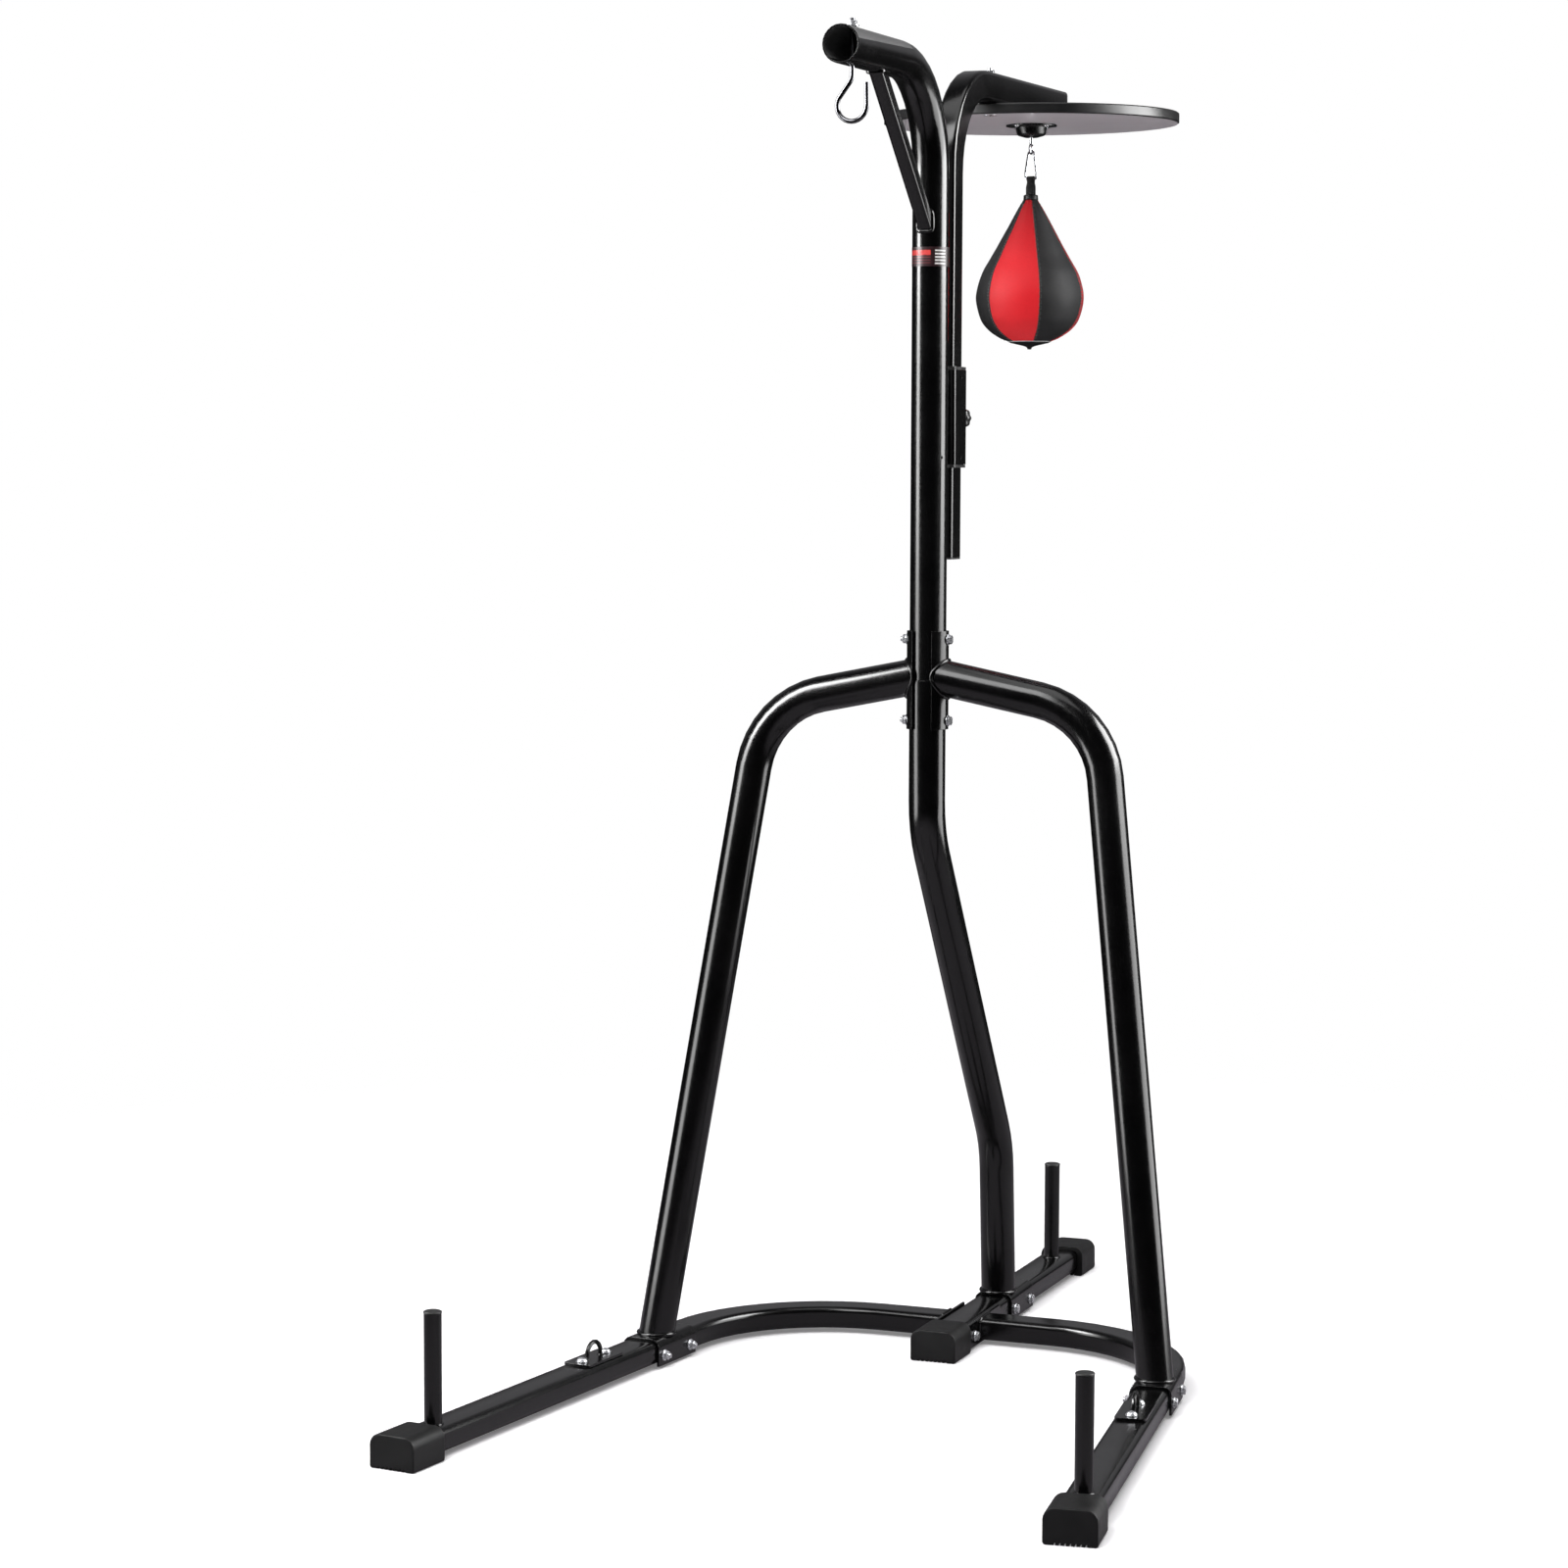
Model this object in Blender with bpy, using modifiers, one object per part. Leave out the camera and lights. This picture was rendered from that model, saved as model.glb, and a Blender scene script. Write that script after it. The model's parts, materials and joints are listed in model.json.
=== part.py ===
"""Two-station boxing stand: a bent pole on a splayed tube base, a hook arm for a heavy bag in front
and a height-adjustable platform with a hanging speed bag behind.

Metres, +Z up, +X to the stand's right hand seen from the front, +Y to the back.
Every function works from the pole's axis (x = 0, y = 0); the last step slides the whole stand along Y
so that the origin lies under the middle of its footprint.
"""
import math

import bmesh
import bpy
from mathutils import Matrix, Vector

# --- frame tubes ---------------------------------------------------------------------------------
ORIGIN_SHIFT_Y = 0.01714802  # pole axis to the middle of the footprint
TUBE_R = 0.030               # pole, legs and rear post: 60 mm tube
WALL = 0.0025
GAP = 0.0003                 # clearance between touching pieces
FIT = 0.00008                # clearance of running and sliding fits
JOINT_Z = 1.150              # pole ends on the rear post here
ARM_Z = 2.140                # axis of the hook arm
ARM_DROOP = 0.003
ARM_END_Y = -0.424
ARM_BEND_R = 0.165
HOLE_Z = 1.513               # small hole in the pole
HOLE_AZIMUTH = math.radians(62)

# --- collar and legs -----------------------------------------------------------------------------
COLLAR_R = 0.0345
COLLAR_H = 0.161
COLLAR_ARC = math.radians(61)
COLLAR_BOLT_DZ = 0.0665
LEG_START = Vector((0.030, 0.0, 1.153))
LEG_CORNER = Vector((0.2915, 0.0096, 1.1007))
LEG_FOOT = Vector((0.4324, -0.1185, 0.0456))
LEG_BEND_R = 0.145
REAR_CORNERS = ((0.0, 0.9015), (0.3860, 0.3135), (0.4050, 0.0500))   # (y, z)
REAR_BEND_R = 0.165

# --- base rails ----------------------------------------------------------------------------------
RAIL_W, RAIL_H, RAIL_R = 0.060, 0.038, 0.010
RAIL_Z0 = 0.008
RAIL_TOP = RAIL_Z0 + RAIL_H
RAIL_MID = RAIL_Z0 + RAIL_H / 2
SPLAY = 0.1224               # feet toe out by 7 degrees
FOOT_LEN = 0.7879            # leg to the front of the cap
ARC_Y = 0.2245               # rear arc meets the centre beam
ARC_R = 0.267
BEAM_FRONT_Y, BEAM_REAR_Y = 0.0483, 0.8708
CAP_W, CAP_L, CAP_H, CAP_WALL = 0.080, 0.084, 0.0535, 0.0095
CAP_ROUND_TOP, CAP_ROUND_LOW = 0.0175, 0.004
CAP_FACE_ROUND = 0.0024
GROOVES, GROOVE_PITCH, GROOVE_W, GROOVE_H = 7, 0.0075, 0.0034, 0.0042

# --- saddles, cradle, anchors, plate posts -------------------------------------------------------
PLATE_T = 0.004
SADDLE_LEN = 0.123
SADDLE_S = -0.0115           # saddle centre along the foot, measured from the leg
REAR_SADDLE_Y = 0.4390
SADDLE_BOLT_DS = 0.043
BOLT_R = 0.004
BOLT_Z = 0.0215
CRADLE_HALF_LEN = 0.0845
CRADLE_BOLT_Y = 0.172
ANCHOR_S = 0.203
ANCHOR_LEN, ANCHOR_W = 0.110, 0.050
ANCHOR_BOLT_DS = 0.037
LOOP_HALF, LOOP_TOP, LOOP_WIRE = 0.0215, 0.0755, 0.0038
PLATE_POST_S = 0.675
PLATE_POST_R = 0.0138
PLATE_POST_TOP = 0.218
REAR_PLATE_POST_Y = 0.722

# --- platform ------------------------------------------------------------------------------------
POST_X, POST_Y = 0.040, 0.050            # platform post section
POST_AXIS_Y = 0.084
POST_BOTTOM = 1.349
POST_TOP = 2.163                         # over the swivel
ARM_RISE = math.radians(0.7)             # arm and board rise this much to the rear
POST_BEND_R = 0.155                      # centre line
ARM_REAR_Y = 0.6835
SLEEVE_X, SLEEVE_Y = 0.052, 0.063
SLEEVE_Z0, SLEEVE_Z1 = 1.5020, 1.6570
BUSH_LIP = 0.005
BUSH_HOLES = (1.513, 1.645)
KNOB_Z = 1.579
KNOB_R = 0.020
BOARD_R, BOARD_T = 0.258, 0.018
BOARD_Y = 0.537
BOARD_Z1 = POST_TOP - POST_Y - GAP
BOARD_Z0 = BOARD_Z1 - BOARD_T
BOARD_BOLT_Y = 0.304

# --- swivel, snap hook, bag ----------------------------------------------------------------------
BALL_R = 0.0092
BALL_Z = BOARD_Z0 - 0.0139
RING_Z, RING_R, RING_WIRE = 2.0528, 0.0082, 0.0020
HOOK_TOP_Z, HOOK_BOTTOM_Z = 2.0489, 2.0012
HOOK_WIRE = 0.0020
HOOK_TOP_HALF, HOOK_BOTTOM_HALF = 0.0052, 0.0100
GATE_RISE = 0.0100           # gate's hinge above the bottom wire
STRAP_W, STRAP_T = 0.0136, 0.0018
BAG_TOP = 1.976
BAG_OUTLINE = ((0.0135, 1.9660), (0.0268, 1.9420), (0.0478, 1.9050), (0.0590, 1.8850), (0.0702, 1.8650),
               (0.0800, 1.8470), (0.0877, 1.8330), (0.0935, 1.8160), (0.0963, 1.7960), (0.0950, 1.7770),
               (0.0897, 1.7600), (0.0760, 1.7390), (0.0548, 1.7240), (0.0360, 1.7180))   # (radius, z)
BAG_LOW = BAG_OUTLINE[-1][1]
BAG_SKIN, BAG_MOUTH = 0.0035, 0.012

# --- heavy bag hook ------------------------------------------------------------------------------
HANG_Y = -0.3732
HANG_WIRE = 0.0038
HANG_LOOP_R = 0.0241
HANG_LOOP_Z = 2.0485
HANG_TIP_Z = 2.083
HANG_NUT_Z = 2.1680

COLOURS = {
    "powder_coat": ((0.020, 0.020, 0.022), 0.22, 0.0),
    "rubber": ((0.018, 0.018, 0.018), 0.75, 0.0),
    "zinc": ((0.62, 0.63, 0.65), 0.28, 1.0),
    "plastic": ((0.025, 0.025, 0.027), 0.45, 0.0),
    "board": ((0.40, 0.37, 0.40), 0.50, 0.0),
    "red_leather": ((0.62, 0.03, 0.03), 0.38, 0.0),
    "strap": ((0.030, 0.030, 0.030), 0.60, 0.0),
}


# ==================================================================================================
# helpers
# ==================================================================================================
def clear_scene():
    for obj in list(bpy.data.objects):
        bpy.data.objects.remove(obj, do_unlink=True)


def material(name):
    mat = bpy.data.materials.get(name)
    if mat is None:
        rgb, rough, metal = COLOURS[name]
        mat = bpy.data.materials.new(name)
        mat.use_nodes = True
        shader = mat.node_tree.nodes["Principled BSDF"]
        shader.inputs["Base Color"].default_value = (*rgb, 1.0)
        shader.inputs["Roughness"].default_value = rough
        shader.inputs["Metallic"].default_value = metal
        mat.diffuse_color = (*rgb, 1.0)
    return mat


def add_object(name, data, collection=None):
    obj = bpy.data.objects.new(name, data)
    (collection or bpy.context.scene.collection).objects.link(obj)
    return obj


def from_bmesh(name, bm):
    mesh = bpy.data.meshes.new(name)
    bm.to_mesh(mesh)
    bm.free()
    return add_object(name, mesh)


def tidy_mesh(mesh, weld=1e-6):
    bm = bmesh.new()
    bm.from_mesh(mesh)
    bmesh.ops.remove_doubles(bm, verts=bm.verts, dist=weld)
    bmesh.ops.recalc_face_normals(bm, faces=bm.faces)
    bm.to_mesh(mesh)
    bm.free()


def bake(obj, weld=1e-6):
    """Replace an object by the mesh that its modifiers or curve settings give."""
    graph = bpy.context.evaluated_depsgraph_get()
    mesh = bpy.data.meshes.new_from_object(obj.evaluated_get(graph))
    tidy_mesh(mesh, weld)
    if obj.type == "MESH":
        obj.modifiers.clear()
        obj.data = mesh
        return obj
    name, matrix = obj.name, obj.matrix_world.copy()
    bpy.data.objects.remove(obj, do_unlink=True)
    out = add_object(name, mesh)
    out.matrix_world = matrix
    return out


def boolean(obj, tool, operation="DIFFERENCE"):
    mod = obj.modifiers.new("boolean", "BOOLEAN")
    mod.operation = operation
    mod.solver = "EXACT"
    mod.object = tool
    tool.hide_render = True
    tool.display_type = "WIRE"
    bpy.context.view_layer.update()
    bake(obj)
    bpy.data.objects.remove(tool, do_unlink=True)
    return obj


def move_mesh(obj, matrix):
    obj.data.transform(matrix)
    return obj


def along(direction):
    """Matrix that turns +Z to a direction."""
    return Vector(direction).to_track_quat("Z", "Y").to_matrix().to_4x4()


def box(name, size, centre, bevel=0.0, segments=2, edges=None):
    bm = bmesh.new()
    bmesh.ops.create_cube(bm, size=1.0, matrix=Matrix.Diagonal((*size, 1.0)))
    if bevel:
        chosen = [e for e in bm.edges if edges is None or edges(e)]
        bmesh.ops.bevel(bm, geom=chosen, offset=bevel, segments=segments, affect="EDGES", profile=0.5)
    bmesh.ops.translate(bm, verts=bm.verts, vec=centre)
    return from_bmesh(name, bm)


def cylinder(name, start, end, radius, segments=12):
    start, end = Vector(start), Vector(end)
    matrix = Matrix.Translation((start + end) / 2) @ along(end - start)
    bm = bmesh.new()
    bmesh.ops.create_cone(bm, cap_ends=True, segments=segments, radius1=radius, radius2=radius,
                          depth=(end - start).length, matrix=matrix)
    return from_bmesh(name, bm)


def turned(name, profile, steps=24, matrix=None):
    """Closed solid turned about Z; the profile is (radius, z) pairs from the top down."""
    bm = bmesh.new()
    verts = [bm.verts.new((r, 0.0, z)) for r, z in profile]
    for a, b in zip(verts, verts[1:]):
        bm.edges.new((a, b))
    obj = from_bmesh(name, bm)
    mod = obj.modifiers.new("turn", "SCREW")
    mod.axis = "Z"
    mod.steps = mod.render_steps = steps
    mod.use_merge_vertices = True
    mod.merge_threshold = 1e-6
    bpy.context.view_layer.update()
    bake(obj)
    if matrix is not None:
        move_mesh(obj, matrix)
    return obj


def fillet(points, radius, steps=8):
    """Polyline with every inner corner replaced by an arc."""
    points = [Vector(p) for p in points]
    out = [points[0]]
    for a, b, c in zip(points, points[1:], points[2:]):
        u, v = (a - b).normalized(), (c - b).normalized()
        half = u.angle(v) / 2
        cut = radius / math.tan(half)
        centre = b + (u + v).normalized() * (radius / math.sin(half))
        first, last = b + u * cut - centre, b + v * cut - centre
        turn = first.angle(last)
        for i in range(steps + 1):
            t = i / steps
            out.append(centre + (first * math.sin((1 - t) * turn) + last * math.sin(t * turn)) / math.sin(turn))
    out.append(points[-1])
    return out


def lengthen(points, by):
    points = [Vector(p) for p in points]
    head = points[0] + (points[0] - points[1]).normalized() * by
    tail = points[-1] + (points[-1] - points[-2]).normalized() * by
    return [head] + points[1:-1] + [tail]


def curve_data(name, points, cyclic=False, flat=False):
    data = bpy.data.curves.new(name, "CURVE")
    data.dimensions = "2D" if flat else "3D"
    spline = data.splines.new("POLY")
    spline.points.add(len(points) - 1)
    for point, place in zip(spline.points, points):
        point.co = (*Vector(place).to_3d(), 1.0)
    spline.use_cyclic_u = cyclic
    return data


def wire(name, points, radius, resolution=2, cyclic=False):
    data = curve_data(name, points, cyclic)
    data.bevel_depth = radius
    data.bevel_resolution = resolution
    data.use_fill_caps = True
    obj = add_object(name, data)
    bpy.context.view_layer.update()
    return bake(obj)


def round_tube(name, points, radius=TUBE_R, wall=WALL, resolution=10):
    obj = wire(name, points, radius, resolution)
    return boolean(obj, wire("bore", lengthen(points, 0.002), radius - wall, resolution))


def section_points(width, height, corner, steps=3):
    out = []
    for k, (sx, sy) in enumerate(((1, 1), (-1, 1), (-1, -1), (1, -1))):
        for i in range(steps + 1):
            a = math.radians(90 * k + 90 * i / steps)
            out.append((sx * (width / 2 - corner) + corner * math.cos(a),
                        sy * (height / 2 - corner) + corner * math.sin(a), 0.0))
    return out


def bar(name, points, width, height, corner):
    """Solid bar of rounded rectangular section; height lies in the plane through Z or along it."""
    guide = add_object("section", curve_data("section", section_points(width, height, corner), True, True))
    data = curve_data(name, points)
    data.twist_mode = "Z_UP"
    data.bevel_mode = "OBJECT"
    data.bevel_object = guide
    data.use_fill_caps = True
    obj = add_object(name, data)
    bpy.context.view_layer.update()
    obj = bake(obj)
    bpy.data.objects.remove(guide, do_unlink=True)
    return obj


def box_tube(name, points, width, height, corner, wall):
    obj = bar(name, points, width, height, corner)
    core = bar("core", lengthen(points, 0.002), width - 2 * wall, height - 2 * wall, corner - wall * 0.6)
    return boolean(obj, core)


def plate_outline(name, outline, thickness, matrix):
    """Flat plate from a closed outline in its own XY plane, centred on its thickness."""
    data = curve_data(name, [(x, y, 0.0) for x, y in outline], True, True)
    data.fill_mode = "BOTH"
    data.extrude = thickness / 2
    obj = add_object(name, data)
    bpy.context.view_layer.update()
    obj = bake(obj)
    return move_mesh(obj, matrix)


def prism(name, rings):
    """Closed solid through rings with the same number of points."""
    bm = bmesh.new()
    rings = [[bm.verts.new(point) for point in ring] for ring in rings]
    count = len(rings[0])
    for low, high in zip(rings, rings[1:]):
        for k in range(count):
            n = (k + 1) % count
            bm.faces.new((low[k], low[n], high[n], high[k]))
    for ring in (rings[0], rings[-1]):
        bm.faces.new(ring)
    bmesh.ops.recalc_face_normals(bm, faces=bm.faces)
    return from_bmesh(name, bm)


def foot_frame(side):
    """Local frame of a foot: X across to the stand's left, Y forward along the foot, Z up."""
    origin = Vector((side * LEG_FOOT.x, LEG_FOOT.y, 0.0))
    forward = Vector((side * math.sin(SPLAY), -math.cos(SPLAY), 0.0))
    across = Vector((forward.y, -forward.x, 0.0))
    matrix = Matrix((across, forward, Vector((0, 0, 1)))).transposed().to_4x4()
    matrix.translation = origin
    return matrix


def foot_point(side, s, z=RAIL_MID, off=0.0):
    return foot_frame(side) @ Vector((off, s, z))


def drill(obj, start, end, radius=BOLT_R + GAP, segments=8):
    """Cut a hole whose flats, not its corners, lie at the radius."""
    return boolean(obj, cylinder("drill", start, end, radius / math.cos(math.pi / segments), segments))


# ==================================================================================================
# fasteners
# ==================================================================================================
def bolt_mesh(grip, tip=0.004, washer_r=0.0095, head_h=0.0053, nut_h=0.0065):
    """Hexagon bolt with two washers and a nut, drawn along Z; the grip runs from z = 0 to z = grip."""
    wash = 0.0016
    profile = [(0.0, grip + wash + nut_h + tip), (BOLT_R, grip + wash + nut_h + tip),
               (BOLT_R, grip + wash), (washer_r, grip + wash), (washer_r, grip + GAP), (BOLT_R, grip + GAP),
               (BOLT_R, -GAP), (washer_r, -GAP), (washer_r, -wash), (0.0, -wash)]
    obj = turned("bolt", profile, 12)
    for z0, z1 in ((-wash - head_h, -wash + 0.0002), (grip + wash - 0.0002, grip + wash + nut_h)):
        hexagon = cylinder("hexagon", (0, 0, z0), (0, 0, z1), 0.0075, 6)
        boolean(obj, hexagon, "UNION")
    mesh = obj.data
    bpy.data.objects.remove(obj, do_unlink=True)
    return mesh


CUP_HEAD = ((0.0098, -GAP), (0.0098, -0.0016), (0.0086, -0.0016), (0.0080, -0.0038), (0.0060, -0.0058),
            (0.0030, -0.0069), (0.0, -0.0072))
FLAT_HEAD = ((0.0112, -GAP), (0.0112, -0.0010), (0.0098, -0.0016), (0.0, -0.0018))


def headed_bolt_mesh(head, grip, tip):
    """Bolt with a turned head below z = 0 and a washer and nut above the grip, drawn along Z."""
    wash, end = 0.0016, grip + 0.0016 + 0.0048
    profile = [(0.0, end + tip), (BOLT_R, end + tip), (BOLT_R, grip + wash), (0.0085, grip + wash),
               (0.0085, grip + GAP), (BOLT_R, grip + GAP), (BOLT_R, -GAP)] + list(head)
    obj = turned("bolt", profile, 16)
    boolean(obj, cylinder("hexagon", (0, 0, grip + wash - 0.0002), (0, 0, end), 0.0075, 6), "UNION")
    mesh = obj.data
    bpy.data.objects.remove(obj, do_unlink=True)
    return mesh


def place_bolt(name, mesh, start, direction):
    obj = add_object(name, mesh)
    obj.location = start
    obj.rotation_mode = "QUATERNION"
    obj.rotation_quaternion = Vector(direction).to_track_quat("Z", "Y")
    return obj


# ==================================================================================================
# pole, arm and posts
# ==================================================================================================
def arm_path():
    return fillet([(0, 0, JOINT_Z + GAP), (0, 0, ARM_Z), (0, ARM_END_Y, ARM_Z - ARM_DROOP)], ARM_BEND_R, 10)


def arm_axis_z(y):
    start = -ARM_BEND_R
    return ARM_Z - ARM_DROOP * y / ARM_END_Y if y < start else ARM_Z


def build_main_post():
    obj = round_tube("main_post", arm_path())
    z = JOINT_Z + COLLAR_BOLT_DZ
    drill(obj, (-0.05, 0, z), (0.05, 0, z))
    drill(obj, (0, HANG_Y, ARM_Z - 0.06), (0, HANG_Y, ARM_Z + 0.06), HANG_WIRE + FIT, 12)
    out = Vector((math.sin(HOLE_AZIMUTH), -math.cos(HOLE_AZIMUTH), 0)) * 0.04
    drill(obj, Vector((0, 0, HOLE_Z)) + out * 0.4, Vector((0, 0, HOLE_Z)) + out, 0.0024, 10)
    return obj


def build_arm_brace():
    top, bottom = Vector((0, -0.2750, 2.1288)), Vector((0, -0.0150, 1.8805))
    obj = bar("arm_brace", [top, bottom], 0.024, 0.024, 0.006)
    boolean(obj, bar("core", lengthen([top, bottom], 0.01), 0.020, 0.020, 0.004))
    boolean(obj, cylinder("pole", (0, 0, 1.7), (0, 0, 2.3), TUBE_R + GAP, 36))
    tilt = ARM_DROOP / -ARM_END_Y
    lower, upper = 0.6, 0.05
    boolean(obj, cylinder("arm", (0, -lower, ARM_Z - lower * tilt), (0, upper, ARM_Z + upper * tilt),
                          TUBE_R + GAP, 36))
    return obj


def build_rear_post():
    corners = [(0, 0, JOINT_Z - GAP)] + [(0, y, z) for y, z in REAR_CORNERS]
    foot = Vector(corners[-1])
    corners[-1] = foot + (foot - Vector(corners[-2])).normalized() * 0.03
    obj = round_tube("rear_post", fillet(corners, REAR_BEND_R, 4))
    z = JOINT_Z - COLLAR_BOLT_DZ
    drill(obj, (-0.05, 0, z), (0.05, 0, z))
    top = RAIL_TOP + GAP + PLATE_T + GAP
    return boolean(obj, box("floor", (0.2, 0.2, 0.1), (0, foot.y, top - 0.05)))


def build_leg(name, side):
    points = [Vector((side * p.x, p.y, p.z)) for p in (LEG_START, LEG_CORNER, LEG_FOOT)]
    points[2] = points[2] + (points[2] - points[1]).normalized() * 0.03
    points[0] = points[0] + (points[0] - points[1]).normalized() * 0.01
    obj = round_tube(name, fillet(points, LEG_BEND_R, 8))
    boolean(obj, cylinder("pole", (0, 0, 1.0), (0, 0, 1.3), COLLAR_R + GAP, 36))
    top = RAIL_TOP + GAP + PLATE_T + GAP
    return boolean(obj, box("floor", (0.2, 0.2, 0.1), (points[2].x, points[2].y, top - 0.05)))


def build_collar(name, side):
    """Half shell round the pole joint, with the leg welded to it."""
    inner, outer, steps = TUBE_R + GAP, COLLAR_R, 10
    angles = [COLLAR_ARC * (2 * i / steps - 1) for i in range(steps + 1)]
    outline = [(outer * math.cos(a), outer * math.sin(a)) for a in angles]
    outline += [(inner * math.cos(a), inner * math.sin(a)) for a in reversed(angles)]
    turn = Matrix.Rotation(0 if side > 0 else math.pi, 4, "Z")
    obj = plate_outline(name, outline, COLLAR_H, Matrix.Translation((0, 0, JOINT_Z)) @ turn)
    for dz in (-COLLAR_BOLT_DZ, COLLAR_BOLT_DZ):
        drill(obj, (side * 0.02, 0, JOINT_Z + dz), (side * 0.05, 0, JOINT_Z + dz))
    return obj


# ==================================================================================================
# base
# ==================================================================================================
def rail(name, points):
    return box_tube(name, points, RAIL_W, RAIL_H, RAIL_R, WALL)


def build_foot(name, side):
    start, end = SADDLE_S + GAP / 2, FOOT_LEN - CAP_WALL - GAP
    obj = rail(name, [foot_point(side, start), foot_point(side, end)])
    s = SADDLE_S + SADDLE_BOLT_DS
    drill(obj, foot_point(side, s, BOLT_Z, -0.05), foot_point(side, s, BOLT_Z, 0.05))
    for sign in (-1, 1):
        s = ANCHOR_S + sign * ANCHOR_BOLT_DS
        drill(obj, foot_point(side, s, -0.02), foot_point(side, s, 0.08))
    return obj


def build_arc(name, side):
    start = foot_point(side, SADDLE_S - GAP / 2)
    slope = math.tan(SPLAY)
    corner_x = LEG_FOOT.x - slope * (ARC_Y - LEG_FOOT.y)
    end_x = RAIL_W / 2 + GAP + PLATE_T + GAP
    points = [start, (side * corner_x, ARC_Y, RAIL_MID), (side * end_x, ARC_Y, RAIL_MID)]
    obj = rail(name, fillet(points, ARC_R, 11))
    s = SADDLE_S - SADDLE_BOLT_DS
    return drill(obj, foot_point(side, s, BOLT_Z, -0.05), foot_point(side, s, BOLT_Z, 0.05))


def build_beam():
    inset = CAP_WALL + GAP
    obj = rail("centre_beam", [(0, BEAM_FRONT_Y + inset, RAIL_MID), (0, BEAM_REAR_Y - inset, RAIL_MID)])
    holes = [CRADLE_BOLT_Y] + [REAR_SADDLE_Y + k * SADDLE_BOLT_DS for k in (-1, 1)]
    for y in holes:
        drill(obj, (-0.05, y, BOLT_Z), (0.05, y, BOLT_Z))
    return obj


def build_saddle(name, matrix):
    """Inverted channel over a rail joint; local Y runs along the rail."""
    inner, outer = RAIL_W / 2 + GAP, RAIL_W / 2 + GAP + PLATE_T
    z0, z1 = RAIL_Z0 - 0.003, RAIL_TOP + GAP + PLATE_T
    top_edges = lambda e: all(v.co.z > 0 for v in e.verts) and abs(e.verts[0].co.x - e.verts[1].co.x) < 1e-6
    obj = box(name, (2 * outer, SADDLE_LEN, z1 - z0), (0, 0, (z0 + z1) / 2), RAIL_R + PLATE_T, 3, top_edges)
    core_h = RAIL_TOP + GAP - z0 + 0.01
    boolean(obj, box("core", (2 * inner, SADDLE_LEN + 0.01, core_h), (0, 0, RAIL_TOP + GAP - core_h / 2),
                     RAIL_R - 0.0008, 3, top_edges))
    for k in (-1, 1):
        drill(obj, (-0.05, k * SADDLE_BOLT_DS, BOLT_Z), (0.05, k * SADDLE_BOLT_DS, BOLT_Z))
    return move_mesh(obj, matrix)


def build_cradle():
    """Open-topped channel under the centre beam; the rear arcs are welded to its sides."""
    inner, outer = RAIL_W / 2 + GAP, RAIL_W / 2 + GAP + PLATE_T
    z0, z1 = RAIL_Z0 - GAP - PLATE_T, RAIL_TOP
    obj = box("centre_cradle", (2 * outer, 2 * CRADLE_HALF_LEN, z1 - z0), (0, ARC_Y, (z0 + z1) / 2))
    boolean(obj, box("core", (2 * inner, 0.2, 0.1), (0, ARC_Y, RAIL_Z0 - GAP + 0.05)))
    return drill(obj, (-0.05, CRADLE_BOLT_Y, BOLT_Z), (0.05, CRADLE_BOLT_Y, BOLT_Z))


def cap_section(y, inset):
    """Cross outline of a cap at y, drawn in by inset all round."""
    half, low, high = CAP_W / 2 - inset, inset, CAP_H - inset
    top_r, low_r = CAP_ROUND_TOP - inset, CAP_ROUND_LOW - inset
    out = []
    for sign, z, r, first, steps in ((1, high - top_r, top_r, 0, 5), (-1, high - top_r, top_r, 90, 5),
                                     (-1, low + low_r, low_r, 180, 2), (1, low + low_r, low_r, 270, 2)):
        for i in range(steps + 1):
            a = math.radians(first + 90 * i / steps)
            out.append((sign * (half - r) + r * math.cos(a), y, z + r * math.sin(a)))
    return out


def build_cap(name, matrix):
    """Rubber end cap; local Y points out of the closed end, whose outer face is at y = 0."""
    rings = [cap_section(-CAP_L, 0.0)]
    for i in range(3):
        a = math.radians(45 * i)
        rings.append(cap_section(-CAP_FACE_ROUND * (1 - math.sin(a)), CAP_FACE_ROUND * (1 - math.cos(a))))
    obj = prism(name, rings)
    depth = CAP_L - CAP_WALL
    along_y = lambda e: abs(e.verts[0].co.y - e.verts[1].co.y) > 0.01
    boolean(obj, box("core", (RAIL_W + 2 * GAP, depth, RAIL_H + 2 * GAP),
                     (0, -CAP_L + depth / 2 - 0.0001, RAIL_MID), RAIL_R - 0.002, 2, along_y))
    for i in range(GROOVES):
        x = (i - (GROOVES - 1) / 2) * GROOVE_PITCH
        boolean(obj, box("groove", (GROOVE_W, CAP_L + 0.02, 2 * GROOVE_H), (x, -CAP_L / 2, 0.0)))
    return move_mesh(obj, matrix)


def build_plate_post(name, place):
    base = RAIL_TOP + GAP
    points = [(place.x, place.y, base), (place.x, place.y, PLATE_POST_TOP)]
    return round_tube(name, points, PLATE_POST_R, 0.002, 6)


def build_plug(name, place):
    inner = PLATE_POST_R - 0.002 - GAP
    z = PLATE_POST_TOP
    lip = PLATE_POST_R + 0.0006
    profile = [(0, z + 0.0038), (lip * 0.80, z + 0.0036), (lip * 0.96, z + 0.0026),
               (lip, z + 0.0016), (lip, z + GAP), (inner, z + GAP), (inner, z - 0.012), (0, z - 0.012)]
    return turned(name, profile, 16, Matrix.Translation((place.x, place.y, 0)))


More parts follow.
